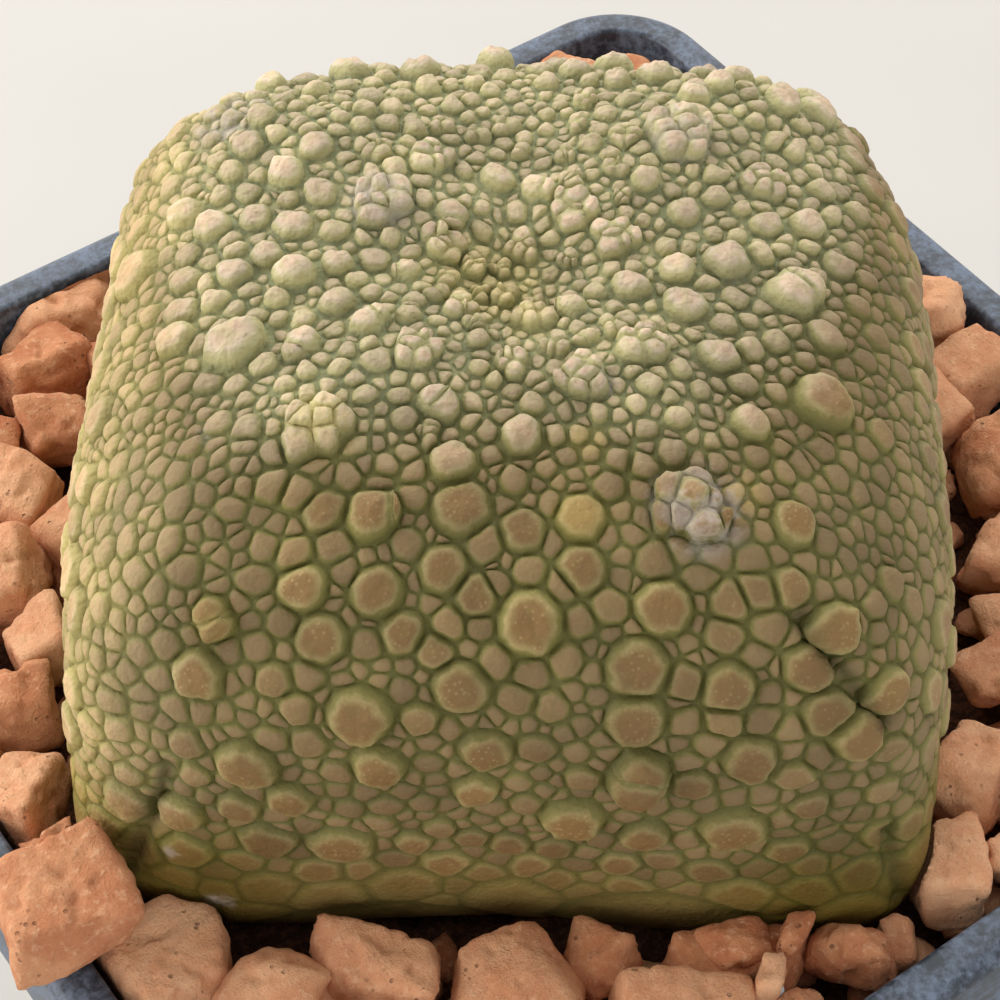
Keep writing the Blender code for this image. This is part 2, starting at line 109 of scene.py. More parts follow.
# Camera, in a frame about the plant's centre whose Y runs away from the camera
VIEW_TURN = math.radians(-35.7)
VIEW_ELEVATION = math.radians(49.62)
VIEW_DISTANCE = 133.56 * MM
VIEW_RIGHT = -0.667 * MM  # where the picture's middle lies from the plant's centre
VIEW_UP = -0.654 * MM
SEARCH_REACH = 1.6  # how far before and behind the centre the skin is sought along a ray, in half widths
SEARCH_STEPS = 640
LENS = 90.0
SENSOR = 36.0
CLIP_START = 0.01
PICTURE = 1000.0  # pixels a side
PIXELS_PER_UNIT = PICTURE * LENS / SENSOR  # pixels that a length takes at a distance equal to it

# Warts listed from the picture: (pixels right, pixels down, width in millimetres, lobes if it has them)
PICKED_WARTS = (
    # Round the crown
    (380, 205, 3.4, 5), (430, 163, 2.6, 3), (498, 183, 2.2), (541, 194, 2.0, 2), (454, 218, 1.9, 2),
    (575, 212, 2.7, 5), (617, 241, 2.6, 4), (441, 245, 2.4, 5), (471, 271, 1.9, 3), (521, 253, 2.1, 5),
    (502, 273, 1.1, 3), (482, 235, 1.2), (516, 216, 1.4), (407, 275, 1.8, 2), (375, 263, 1.7),
    (437, 299, 1.4, 2), (479, 297, 1.2, 3), (506, 301, 1.7, 4), (458, 311, 2.0, 3), (534, 324, 2.4, 6),
    (571, 312, 1.8, 2), (408, 318, 1.4, 2), (370, 326, 2.2, 2), (416, 354, 2.6, 4), (377, 364, 1.5),
    (439, 405, 2.4, 2), (512, 366, 2.0, 3), (478, 341, 1.3), (582, 383, 3.0, 5), (640, 352, 2.9, 3),
    (629, 292, 2.2),
    # Upper left
    (240, 350, 3.2), (138, 276, 3.2), (297, 278, 2.4), (337, 268, 1.9), (340, 307, 2.0), (303, 351, 2.3, 2),
    (252, 149, 1.9), (288, 179, 2.0), (319, 149, 2.0), (189, 218, 2.3), (216, 232, 2.2), (258, 222, 1.8),
    (295, 230, 2.1), (323, 196, 1.9), (335, 236, 1.5), (238, 277, 2.1), (268, 260, 1.9), (191, 258, 1.6),
    (187, 283, 1.8), (183, 315, 2.0), (216, 305, 1.5), (151, 317, 1.5), (179, 343, 2.2), (278, 303, 1.4),
    (305, 323, 1.4),
    # Upper right
    (678, 141, 4.2, 8), (692, 100, 2.5, 2), (761, 189, 2.6, 3), (715, 201, 1.6), (683, 217, 1.9),
    (644, 185, 1.6), (726, 266, 2.6), (763, 229, 1.8), (806, 230, 2.0), (790, 296, 3.2, 2), (756, 260, 1.6),
    (676, 276, 2.0), (684, 311, 2.3), (724, 327, 1.5), (717, 361, 2.3), (680, 373, 1.3), (774, 345, 1.5),
    (747, 355, 1.6), (825, 343, 1.9), (738, 387, 1.6), (820, 405, 3.1), (747, 427, 2.1), (811, 102, 2.2),
    (779, 109, 2.2), (774, 146, 1.5), (790, 155, 1.6), (818, 196, 1.6), (836, 270, 1.9),
    # Left of the middle
    (320, 430, 3.6, 6), (375, 515, 2.8, 2), (325, 512, 2.0), (300, 494, 1.6), (272, 488, 1.6),
    (454, 466, 2.3), (461, 508, 2.8), (416, 498, 1.2), (522, 439, 2.2), (335, 546, 1.7), (295, 555, 1.7),
    (265, 549, 1.4), (304, 588, 2.3), (345, 571, 1.3), (378, 592, 2.5), (443, 570, 2.3), (408, 544, 1.6),
    (485, 545, 1.7), (523, 532, 2.1), (479, 597, 2.2), (448, 624, 1.7), (434, 650, 1.9), (403, 632, 2.2),
    (368, 644, 1.6), (322, 638, 2.5), (284, 621, 1.6), (260, 646, 1.5), (276, 678, 1.8), (307, 674, 1.5),
    (297, 707, 1.7), (360, 714, 3.2), (420, 717, 1.8), (402, 690, 1.3), (460, 686, 2.7), (517, 699, 1.7),
    (485, 749, 2.6), (537, 747, 1.8), (311, 741, 1.7), (337, 769, 1.6), (379, 763, 2.6), (200, 674, 2.5),
    (214, 620, 2.3, 2), (178, 707, 1.2), (202, 709, 1.2), (188, 743, 1.8), (248, 762, 3.0), (238, 804, 2.0),
    (291, 797, 2.2),
    # Right of the middle
    (690, 507, 3.9, 7), (580, 518, 2.3), (580, 570, 2.3), (793, 525, 2.2), (653, 564, 1.7), (698, 578, 1.3),
    (663, 607, 2.6), (607, 607, 1.7), (727, 604, 1.8), (761, 593, 1.8), (789, 588, 1.9), (722, 634, 1.8),
    (770, 626, 1.6), (833, 629, 2.5), (808, 667, 2.4), (728, 687, 2.6), (637, 668, 3.1), (635, 719, 2.9),
    (683, 679, 1.8), (722, 716, 1.7), (683, 722, 1.5), (767, 694, 1.4), (764, 716, 1.6), (791, 724, 1.4),
    (823, 712, 2.4), (857, 735, 2.8), (887, 690, 2.3), (706, 742, 1.4), (748, 758, 2.6), (793, 772, 1.8),
    (694, 783, 2.0), (635, 774, 3.8, 2), (809, 803, 1.9), (732, 827, 3.2), (572, 815, 3.2), (645, 833, 2.4),
    (477, 786, 2.2),
    # Along the hem
    (405, 885, 3.8), (342, 842, 3.2), (268, 838, 2.8), (183, 810, 2.4), (127, 798, 2.6),
)
COLLARED_WART = (530, 622, 3.2)  # the one with a collar of small lobes round it
COLLAR_LOBES = 8
COLLAR_LOBE = 1.6 * MM  # width of one of them
COLLAR_REACH = 1.38  # their distance from its middle, as a part of its radius

# Pale crusts on the skin: (pixels right, pixels down, width in millimetres)
PICKED_CRUSTS = (
    (382, 203, 3.6), (700, 512, 4.2), (663, 492, 1.6), (232, 118, 4.4), (172, 848, 1.0), (222, 899, 1.6),
    (678, 141, 3.6), (205, 437, 0.9), (728, 268, 2.0), (600, 386, 1.6),
)

# Warts of a golden brown: (pixels right, pixels down, width in millimetres)
PICKED_GOLDEN = (
    (320, 430, 3.8), (587, 443, 2.0), (580, 518, 2.6), (738, 500, 2.2), (502, 273, 3.0), (534, 324, 3.0),
    (490, 285, 6.5), (214, 620, 2.4),
)

# Creases that cut into the skin: points on the picture from end to end
PICKED_CREASES = (
    ((168, 764), (158, 800), (140, 838), (124, 878)),
    ((800, 618), (818, 646), (850, 682), (880, 722)),
    ((884, 828), (892, 862), (900, 898)),
)
NORMAL_STEP = 0.01  # along a unit vector's tangents, to find the skin's normal
CREASE_DEPTH = 0.5 * MM
CREASE_WIDTH = 0.5 * MM

# Cells of the skin
NOISE_STRIDE = (17.3, 5.1, 11.7)  # from one seed's noise to the next one's
STEEP = 0.9  # upright part of a unit vector, from which it counts as steep
PLANT_SEED = 23
USUAL_RADII = (  # (angle from the crown in radians, usual radius of a wart)
    (0.00, 0.52 * MM), (0.35, 0.55 * MM), (0.70, 0.64 * MM), (1.54, 0.72 * MM), (1.76, 1.40 * MM),
    (2.10, 4.20 * MM), (math.pi, 5.60 * MM),
)
# (size over the usual one, tries), largest first
WART_CLASSES = ((1.75, 700), (1.40, 1500), (1.10, 1500), (0.85, 3600), (0.64, 12000), (0.48, 24000))
PICKED_CLASSES = 2  # how many of the largest classes the picked warts stand for where the camera sees them
FACING_CAMERA = 0.30  # cosine over which the skin counts as seen
WART_SPREAD = 0.12
WART_SPACING = 0.88  # of the two radii, between neighbours
LOBED_SHARE = 0.75  # of the larger warts round the crown, that are lobed
LOBED_FADE = (0.45, 0.80)  # angles from the crown over which there are fewer of them
LOBES = 2.5  # of a lobed wart, and how many more for each millimetre of its radius
LOBES_PER_MM = 2.7
LOBE_SHARE = 0.92  # radius of a lobe, as a part of the wart's over the root of their number
LOBE_SPREAD = (0.65, 1.30)  # of that radius
LOBE_TURN = math.radians(137.5)  # from each lobe to the next
LOBE_SWING = 0.3  # in radians
LOBE_START = 0.3  # of a step, how far the first lobe lies from the wart's middle
LOBE_OUTS = (0.85, 1.15)  # spread of that distance
FILL_LOBES = (2, 6)
SHORTEST_EDGE = 0.17 * MM  # of a cell's outline
CELL_STEP = 0.30 * MM  # along a cell's outline
SMOOTHING_ROUNDS = 3  # that turn a cell's angular outline into a round one
GAP_HALF = 0.010 * MM  # half of the gap between two warts, and how much more on the crown
CROWN_GAP = 0.025 * MM
# (how far the outline swings in, size, seed), for broad and for small bumps
OUTLINE_BUMPS = ((0.18, 0.90 * MM, 1), (0.17, 0.45 * MM, 6))
LEAST_REACH = 0.4  # of an outline's own, that the gap and the bumps leave
TOP_BUMPS = ((0.16, 0.80 * MM, 2), (0.10, 0.35 * MM, 3))  # the same for the height of the tops
CROWN_NOISE = 1.3  # how much more of the broad ones the crown has
UNDERCUT = 0.10  # how far a knob on the crown is drawn in at its foot
SUNKEN = 0.45  # how far the collared wart's top is sunk in, as a part of its height
LOW_WART = 0.19  # height of the smallest and the largest plain warts, in millimetres
HIGH_WART = 0.70
WART_SIZES = (0.30, 1.45)  # radii that these heights belong to, the same way
BALL_HEIGHT = 0.92  # height of a wart on the crown, over its radius
BALL_SIZES = (0.02, 0.45)  # radii over which it sets in
LOBED_HEIGHT = (0.30, 0.55)  # of a lobed wart, and how much more for each millimetre of its radius
PLAIN_SPREAD = (0.80, 0.40)  # least share of that height that a plain wart has, and how much more it may have
LOBED_SPREAD = (0.92, 0.16)
LOBE_FALL = 0.55  # how much lower the outer lobes of a wart are than its middle ones
LOBE_FOOT = 0.80  # height of the creases between lobes, as a part of the lobes' height
PLATE_RADII = (0.7 * MM, 1.2 * MM)  # of a wart on the faces, over which its dome turns into a flat plate
BACK_DOMES = 0.8  # how far the warts at the back are domes all the same
BACK_SPAN = (-0.2 * HALF_DEPTH, 0.4 * HALF_DEPTH)
CROWN_TILT = 0.10  # how much lower the crown's warts begin towards the back, as a slope
CROWN_SPAN = (0.78 * CROWN, 0.92 * CROWN)
HEM_LOSS = 0.80  # of the full relief, that the hem and the two flanks lack
HEM_SPAN = (-4.0 * MM, 2.0 * MM)
FLANK_LOSS = 0.35
FLANK_SPAN = (0.80 * HALF_WIDTH, HALF_WIDTH)

# (share of the way out, share of the height) of the rings of vertices in a cell, from its foot to its top
FLAT_RINGS = ((0.97, 0.10), (1.00, 0.48), (0.93, 0.80), (0.70, 0.95), (0.35, 1.00))
DOME_RINGS = ((0.95, 0.10), (1.00, 0.38), (0.90, 0.66), (0.66, 0.88), (0.34, 0.98))
PEAK = 1.01  # share of the height that its middle has
BUMPY_SPAN = (0.05, 0.65)  # shares over which its outline turns from full and smooth to bumpy
SIZE_SPAN = (0.5 * MM, 1.6 * MM)  # radii of the warts that the material takes as small and as large
PATCH_EDGE = (0.5, 1.3)  # where a picked patch fades out, as a part of its radius

# Pieces that the skin is split into: (least, most) angle from the crown, in radians
SKIN_BANDS = {
    "skin_crown": (0.0, 0.82),
    "skin_shoulders": (0.82, 1.20),
    "skin_flanks": (1.20, 1.55),
    "skin_hem": (1.55, 4.0),
}

# The pot's and the root's finer forms
LIP_ROUNDING = 0.35 * MM  # of the collar's foot and the rim's inner edge
WALL_BANDS = 6
SMOOTH_ANGLE = math.radians(40)
ROOT_SIDES = 36
ROOT_RINGS = 24
ROOT_KNOBS = (2.2 * MM, 0.05, 9)  # (width, height as a part of the radius, seed)

# Soil and gravel, as their solids
SOIL_CLEARANCE = 0.9 * MM
BED_TOP = POT_HEIGHT - 2.8 * MM
STONE_CORNERS = (0.55, 1.0)
STONE_SKEW = 0.09
STONE_BULGE = 0.18
STONE_TILT = math.radians(14)
STONE_SUNK = 0.30
STONE_SHIFT = 0.4 * MM
GRAVEL_SEED = 5
FILL_SIZES = (7.2 * MM, 6.0 * MM, 4.8 * MM, 3.6 * MM)
FILL_SPREAD = 0.15
FILL_WIDTH = (0.65, 0.90)
FILL_HEIGHT = (0.60, 0.85)
FILL_TRIES = 300
FILL_SPACING = 0.80
SETTLED_SPACING = 0.95
SETTLING_ROUNDS = 40
ELBOW_ROOM = 0.8
REACH_LEVEL = 0.25
REACH_BAND = 1.5 * MM
REACH_STEPS = 60

# The stones' finer forms
EDGE_SHARPNESS = 18.0  # exponent that joins a stone's flat sides, more is sharper
STONE_DENTS = ((1.8 * MM, 0.20 * MM, 0.0), (0.7 * MM, 0.15 * MM, 0.61))  # (width, depth, shift of the seed)
STONE_CHIPS = (0.9 * MM, 0.7 * MM, 0.37)  # the same
LEAST_CHIP = 0.2  # of the noise, from where it takes a chip off
THINNEST = 0.1 * MM  # least distance of a flat side from the stone's middle
# How much closer to the plant than in the solid the placed stones in front lie, in millimetres
FRONT_SHIFTS = (1.3, 1.3, 1.3, 0.7, 2.9, 1.3, 1.3, 1.3, 1.3, 1.3, 1.3)
FRONT_TONES = (0.4, 1.0, 0.7, 0.6, 0.5, 0.2, 0.6, 0.0, 0.1, 0.1, 0.6, 0.9)  # from dark to pale
BURIED_STONES = (74, 77)  # numbers of two that lie hidden under the heaped ones
STEPS_PER_MM = 2.6  # of a stone's length, across each side of its grid
MIN_STEPS = 7
PLANT_CLEARANCE = 0.9 * MM  # height of the tallest warts
# Stones heaped over the others: (pixels right, pixels down, height of their middle over the rim,
# length, width, height, all in millimetres, turn in degrees, tone from dark to pale)
PICKED_STONES = (
    (60, 906, 2.3, 7.6, 6.6, 4.8, 28, 0.25), (795, 934, -0.6, 3.4, 1.5, 2.6, 65, 0.05),
    (772, 977, -0.2, 2.6, 1.5, 2.0, 80, 0.80), (735, 948, -0.8, 4.4, 3.0, 2.8, 20, 0.00),
    (60, 838, -0.4, 2.6, 1.4, 2.0, 40, 0.30),
)
PALE_CHIP = (770, 993)  # pixels right and down
CHIP_SIZES = (1.6 * MM, 1.12 * MM, 0.96 * MM)
CHIP_LEVEL = BED_TOP + 1.5 * MM
GRIT_SEED = 8
GRIT_STEPS = 5
GRIT_TRIES = 1200
GRIT_SIZES = (2.0 * MM, 3.4 * MM)
GRIT_LEVELS = (-2.6 * MM, -0.9 * MM)  # over the bed's top
GRIT_FORM = (0.8, 0.7)  # width and height over length
GRIT_SPACING = 0.8
GRIT_SHAPES = 300  # seed of the first one's form
BED_SUNK = 2.8 * MM  # of the bed below the level that the stones lie on
BED_RINGS = 30
BED_MIDDLE = 0.02  # width of the innermost ring, as a part of the bed's
BED_ROUNDNESS = 0.49  # most that a ring's corners are rounded, as a part of its width
BED_LUMPS = ((1.6 * MM, 0.50 * MM, 4), (0.7 * MM, 0.25 * MM, 5))  # (width, height, seed)
BED_DIPS = 40  # steps in which the bed is lowered under the plant
BED_DIP = 0.4 * MM
LEAST_BED = 0.5 * MM

# Stones that lie where they lie on the real plant, in millimetres from its axis, seen from the front:
# (right, back, length, width, height, turn in degrees)
PLACED_STONES = (
    (-22.5, -23.0, 8.4, 7.4, 5.6, 20), (-16.4, -27.0, 8.0, 6.8, 5.4, 35),
    (-10.6, -27.6, 6.4, 4.6, 4.6, 160), (-5.8, -26.0, 8.2, 4.4, 4.4, 172), (0.2, -28.2, 8.0, 6.4, 5.2, 12),
    (4.8, -25.6, 4.8, 3.8, 3.6, 160), (8.6, -29.4, 7.4, 5.0, 4.4, 170), (10.6, -26.0, 4.4, 3.6, 3.6, 20),
    (13.8, -25.0, 4.2, 2.2, 3.4, 65), (17.2, -24.6, 5.0, 3.0, 3.4, 165), (14.6, -28.0, 3.2, 2.6, 2.8, 40),
    (22.4, -19.0, 5.6, 4.4, 4.6, 95), (24.6, -12.6, 6.6, 4.6, 4.8, 60), (26.0, -6.4, 4.0, 3.6, 3.6, 20),
    (27.0, -2.4, 4.2, 3.8, 3.8, 110), (27.4, 2.4, 5.0, 4.2, 4.2, 80), (27.6, 9.0, 7.0, 4.6, 4.8, 100),
    (27.0, 16.0, 5.0, 4.4, 4.4, 30), (-25.0, -15.6, 6.4, 5.4, 5.0, 70), (-26.0, -9.8, 4.6, 3.8, 3.8, 10),
    (-25.6, -5.6, 4.6, 4.0, 4.0, 120), (-28.0, -1.2, 5.8, 4.6, 4.6, 95), (-28.0, 4.6, 6.0, 4.6, 4.8, 80),
    (-26.8, 10.0, 4.4, 3.8, 4.0, 20), (-29.0, 14.4, 6.4, 4.8, 5.0, 40), (-28.4, 20.0, 7.4, 5.6, 5.4, 25),
)


def eased(value, start, end):
    """0 at start, 1 at end, eased in between, for arrays too."""
    t = np.clip((value - start) / (end - start), 0.0, 1.0)
    return t * t * (3.0 - 2.0 * t)


def unit(vectors):
    return vectors / np.linalg.norm(vectors, axis=-1, keepdims=True)


def ridge_heights(polar, azimuth, radius):
    """How far the four ridges lift the skin."""
    along = eased(polar, *RIDGE_RISE) * (1.0 - eased(polar, *RIDGE_FADE))
    height = np.zeros_like(polar)
    for high, low in RIDGES:
        ridge = np.radians(high + (low - high) * eased(polar, *RIDGE_SWING))
        turn = (azimuth - ridge + math.pi) % (2 * math.pi) - math.pi
        across = turn * radius * np.sin(polar) / RIDGE_WIDTH
        height = np.maximum(height, np.exp(-0.5 * across**2))
    return RIDGE_HEIGHT * along * height


def smooth_radii(d):
    """Distances from the plant's centre to its skin, as the solid has it, along the unit vectors d."""
    x, y, z = d.T
    up = z > 0
    half_height = np.where(up, CROWN, BASE)
    roundness = np.where(up, CROWN_ROUNDNESS, BASE_ROUNDNESS)
    squareness = SQUARENESS - np.where(up, SQUARENESS_FALL, SQUARENESS_RISE) * z
    plan = np.abs(x / HALF_WIDTH) ** squareness + np.abs(y / HALF_DEPTH) ** squareness
    upright = np.abs(z / half_height) ** roundness
    radius = (plan ** (roundness / squareness) + upright) ** (-1.0 / roundness)
    polar = np.arccos(np.clip(z, -1.0, 1.0))
    azimuth = np.arctan2(y, x)
    radius *= 1.0 - DIMPLE * np.exp(-((polar / DIMPLE_SPREAD) ** 2))
    mid_face = 0.5 + 0.5 * np.cos(4 * azimuth)
    radius *= 1.0 - FACE_HOLLOW * mid_face * eased(polar, *FACE_HOLLOW_RISE)
    return radius + ridge_heights(polar, azimuth, radius)


def crease_depths(points, creases):
    """How far the creases, each a list of points from end to end, sink the skin at the points."""
    depth = np.zeros(len(points))
    for crease in creases:
        for start, end in zip(crease, crease[1:]):
            run = end - start
            share = np.clip((points - start) @ run / (run @ run), 0.0, 1.0)
            apart = np.linalg.norm(points - start - share[:, None] * run, axis=1)
            depth = np.maximum(depth, CREASE_DEPTH * np.exp(-((apart / CREASE_WIDTH) ** 2)))
    return depth


def skin_points(d, creases):
    """Points of the skin, without its warts, along the unit vectors d."""
    points = d * smooth_radii(d)[:, None]
    return points - d * crease_depths(points, creases)[:, None]


def tangents(d):
    """Two unit vectors square to each of the unit vectors d, and to each other."""
    helper = np.where(np.abs(d[:, 2:]) < STEEP, (0.0, 0.0, 1.0), (1.0, 0.0, 0.0))
    u = unit(np.cross(helper, d))
    return u, np.cross(d, u)


def skin_normals(d, creases):
    """Unit normals of the skin, without its warts, along the unit vectors d."""
    here = skin_points(d, creases)
    along = [skin_points(unit(d + NORMAL_STEP * t), creases) - here for t in tangents(d)]
    return unit(np.cross(*along))


def turned(vectors, angle):
    """Vectors turned by an angle about Z."""
    return vectors @ np.array(Matrix.Rotation(angle, 3, "Z")).T


def view_frame():
    """The camera's place and its right, up and forward directions, about the plant's centre."""
    c, s = math.cos(VIEW_ELEVATION), math.sin(VIEW_ELEVATION)
    axes = turned(np.array([(1.0, 0.0, 0.0), (0.0, s, c), (0.0, c, -s)]), VIEW_TURN)
    right, up, forward = axes
    eye = VIEW_RIGHT * right + VIEW_UP * up - VIEW_DISTANCE * forward
    return eye, right, up, forward


def rays_at(pixels):
    """The camera's place about the plant's centre, and vectors from it towards pixels of its picture."""
    eye, right, up, forward = view_frame()
    offset = (np.asarray(pixels, float) - 0.5 * PICTURE) / PIXELS_PER_UNIT
    return eye, forward + offset[:, :1] * right - offset[:, 1:] * up


def seen_at(pixels):
    """Unit vectors in the plant's frame towards the places that the camera sees at pixels of its picture."""
    eye, rays = rays_at(pixels)
    eye = turned(eye, -PLANT_TURN)
    rays = turned(unit(rays), -PLANT_TURN)
    far = VIEW_DISTANCE + np.linspace(-SEARCH_REACH, SEARCH_REACH, SEARCH_STEPS) * HALF_WIDTH
    points = eye + far[None, :, None] * rays[:, None, :]
    reach = np.linalg.norm(points, axis=2)
    skin = smooth_radii(unit(points.reshape(-1, 3))).reshape(reach.shape)
    inside = reach < skin
    # A pixel just off the edge takes the place nearest to its ray
    first = np.where(inside.any(axis=1), inside.argmax(axis=1), (reach / skin).argmin(axis=1))
    return unit(points[np.arange(len(points)), first])


def picked_points(rows):
    """The points of the skin, without its warts, that the camera sees at the rows' pixels."""
    d = seen_at([row[:2] for row in rows])
    return d * smooth_radii(d)[:, None]


def seen_on_level(pixels, level):
    """The point at a level, in the pot's frame, that the camera sees at a pixel of its picture."""
    eye, rays = rays_at([pixels])
    eye = eye + np.array(PLANT_CENTRE)
    return eye + rays[0] * (level - eye[2]) / rays[0, 2]


class Warts:
    """The skin's warts: directions, places on the smooth skin, radii and numbers of lobes."""

    def __init__(self):
        self.directions = np.empty((0, 3))
        self.places = np.empty((0, 3))
        self.radii = np.empty(0)
        self.lobes = []

    def add(self, direction, place, radius, lobes):
        self.directions = np.vstack([self.directions, direction])
        self.places = np.vstack([self.places, place])
        self.radii = np.append(self.radii, radius)
        self.lobes.append(lobes)

    def leave_room(self, place, radius):
        apart = np.linalg.norm(self.places - place, axis=1)
        return bool((apart > WART_SPACING * (self.radii + radius)).all())


def usual_radius(polar):
    angles, radii = zip(*USUAL_RADII)
    return np.interp(polar, angles, radii)


def picked_warts():
    warts = Warts()
    rows = (*PICKED_WARTS, COLLARED_WART)
    directions = seen_at([row[:2] for row in rows])
    places = directions * smooth_radii(directions)[:, None]
    for direction, place, (_, _, width, *lobes) in zip(directions, places, rows):
        warts.add(direction, place, 0.5 * width * MM, lobes[0] if lobes else 1)
    add_collar(warts)
    return warts


def add_collar(warts):
    """A ring of small warts round the collared one, which is the last of the picked ones."""
    middle, radius = warts.directions[-1], warts.radii[-1]
    reach = COLLAR_REACH * radius / np.linalg.norm(warts.places[-1])
    u, v = tangents(middle[None, :])
    for lobe in range(COLLAR_LOBES):
        turn = 2 * math.pi * lobe / COLLAR_LOBES
        direction = unit(middle + reach * (math.cos(turn) * u[0] + math.sin(turn) * v[0]))
        warts.add(direction, direction * smooth_radii(direction[None, :])[0], 0.5 * COLLAR_LOBE, 1)


def fill_warts(warts, rng):
    """Packs smaller and smaller warts between those that are there."""
    eye = turned(view_frame()[0], -PLANT_TURN)
    for number, (scale, tries) in enumerate(WART_CLASSES):
        d = unit(rng.normal(size=(tries, 3)))
        places = d * smooth_radii(d)[:, None]
        polar = np.arccos(d[:, 2])
        radii = usual_radius(polar) * scale * rng.uniform(1 - WART_SPREAD, 1 + WART_SPREAD, tries)
        seen = (skin_normals(d, ()) * unit(eye - places)).sum(axis=1) > FACING_CAMERA
        lobed = (rng.random(tries) < LOBED_SHARE * (1.0 - eased(polar, *LOBED_FADE))) & (scale > 1)
        lobes = np.where(lobed, rng.integers(*FILL_LOBES, tries), 1)
        for i in range(tries):
            if seen[i] and number < PICKED_CLASSES:
                continue
            if warts.leave_room(places[i], radii[i]):
                warts.add(d[i], places[i], radii[i], int(lobes[i]))


class Cells:
    """The cells that the warts are made of, as arrays: one for a plain wart, one a lobe for a lobed one."""

    def __init__(self, warts, rng):
        rows = []
        for wart, (direction, radius, lobes) in enumerate(zip(warts.directions, warts.radii, warts.lobes)):
            if lobes == 1:
                rows.append((*direction, radius, wart, 0.0, 0.0))
                continue
            reach = radius / np.linalg.norm(warts.places[wart])
            u, v = (t[0] for t in tangents(direction[None, :]))
            start = rng.uniform(0.0, 2 * math.pi)
            if lobes > 2:
                lobes = round(LOBES + LOBES_PER_MM * radius / MM)
            share = LOBE_SHARE * lobes**-0.5
            for lobe in range(lobes):
                turn = start + LOBE_TURN * lobe + rng.uniform(-LOBE_SWING, LOBE_SWING)
                out = (1.0 - share) * math.sqrt((lobe + LOBE_START) / lobes) * rng.uniform(*LOBE_OUTS)
                spot = unit(direction + reach * out * (math.cos(turn) * u + math.sin(turn) * v))
                rows.append((*spot, radius * share * rng.uniform(*LOBE_SPREAD), wart, 1.0, out))
        table = np.array(rows)
        self.directions = table[:, :3]
        self.radii = table[:, 3]
        self.warts = table[:, 4].astype(int)
        self.lobed = table[:, 5]
        self.outs = table[:, 6]
        self.wart_radii = warts.radii[self.warts]
        self.tones = rng.random(len(table))


def wrap_in_hull(bm):
    """Joins a mesh's vertices to their convex hull."""
    made = bmesh.ops.convex_hull(bm, input=bm.verts, use_existing_faces=False)
    loose = [item for item in made["geom_interior"] if isinstance(item, bmesh.types.BMVert)]
    bmesh.ops.delete(bm, geom=loose, context="VERTS")
    bmesh.ops.recalc_face_normals(bm, faces=bm.faces)


def outline_cells(cells):
    """The cells' common corners as unit vectors, and each cell's corners in order round it.

    The cells are the dual of the convex hull of the directions, each lifted by its wart's size.
    """
    angles = cells.radii / smooth_radii(cells.directions)
    hull = bmesh.new()
    number = hull.verts.layers.int.new("cell")
    for index, (direction, angle) in enumerate(zip(cells.directions, angles)):
        hull.verts.new(direction / math.cos(angle))[number] = index
    wrap_in_hull(hull)
    hull.faces.index_update()
    ends = cells.directions / np.cos(angles)[:, None]
    a, b, c = (ends[[face.verts[k][number] for face in hull.faces]] for k in range(3))
    corners = unit(np.cross(b - a, c - a))
    corners *= np.sign((corners * a).sum(axis=1))[:, None]
    rounds = {}
    for vert in hull.verts:
        loop = vert.link_loops[0]
        around = []
        for _ in vert.link_loops:
            around.append(loop.face.index)
            loop = loop.link_loop_prev.link_loop_radial_next
        rounds[vert[number]] = around
    hull.free()
    return merge_corners(corners, rounds)


def merge_corners(corners, rounds):
    """Joins the corners at the ends of edges that are very short, or run backwards round their cell."""
    places = corners * smooth_radii(corners)[:, None]
    group = list(range(len(corners)))

    def leader(corner):
        while group[corner] != corner:
            corner = group[corner]
        return corner

    for around in rounds.values():
        middle = places[around].mean(axis=0)
        following = around[1:] + around[:1]
        sweeps = np.cross(places[around] - middle, places[following] - middle) @ middle
        lengths = np.linalg.norm(places[around] - places[following], axis=1)
        join = (lengths < SHORTEST_EDGE) | (sweeps * np.sign(sweeps.sum()) < 0)
        for start, end in zip(np.array(around)[join], np.array(following)[join]):
            group[leader(start)] = leader(end)
    leaders = np.array([leader(corner) for corner in range(len(corners))])
    total = np.zeros_like(corners)
    np.add.at(total, leaders, corners)
    merged = {}
    for cell, around in rounds.items():
        around = [int(leaders[corner]) for corner in around]
        around = [a for a, b in zip(around, around[1:] + around[:1]) if a != b]
        if len(around) > 2:
            merged[cell] = around
    return unit(np.where(total.any(axis=1)[:, None], total, 1.0)), merged


def divide_outlines(corners, rounds, cells):
    """Points along the cells' outlines.

    Returns the points as unit vectors, whether each lies between two lobes of one wart, and each cell's
    points in order round it.
    """
    places = corners * smooth_radii(corners)[:, None]
    owners = {}
    for cell, around in rounds.items():
        for start, end in zip(around, around[1:] + around[:1]):
            owners.setdefault((min(start, end), max(start, end)), []).append(cell)
    points = list(corners)
    within = [0.0] * len(corners)
    between = {}
    for (start, end), pair in owners.items():
        same = float(len(set(cells.warts[pair])) == 1)
        steps = max(1, round(np.linalg.norm(places[start] - places[end]) / CELL_STEP))
        run = [start]
        for step in range(1, steps):
            share = step / steps
            run.append(len(points))
            points.append(unit(corners[start] * (1 - share) + corners[end] * share))
            within.append(same)
        between[start, end] = run + [end]
    lines = {}
    for cell, around in rounds.items():
        line = []
        for start, end in zip(around, around[1:] + around[:1]):
            run = between[min(start, end), max(start, end)]
            line += run[:-1] if run[0] == start else run[:0:-1]
        lines[cell] = line
    mark_inner_corners(within, rounds, cells)
    return np.array(points), np.array(within), lines


def mark_inner_corners(within, rounds, cells):
    """A corner lies inside a wart when all its cells belong to that one."""
    owners = {}
    for cell, around in rounds.items():
        for corner in around:
            owners.setdefault(corner, set()).add(cells.warts[cell])
    for corner, warts in owners.items():
        within[corner] = float(len(warts) == 1)


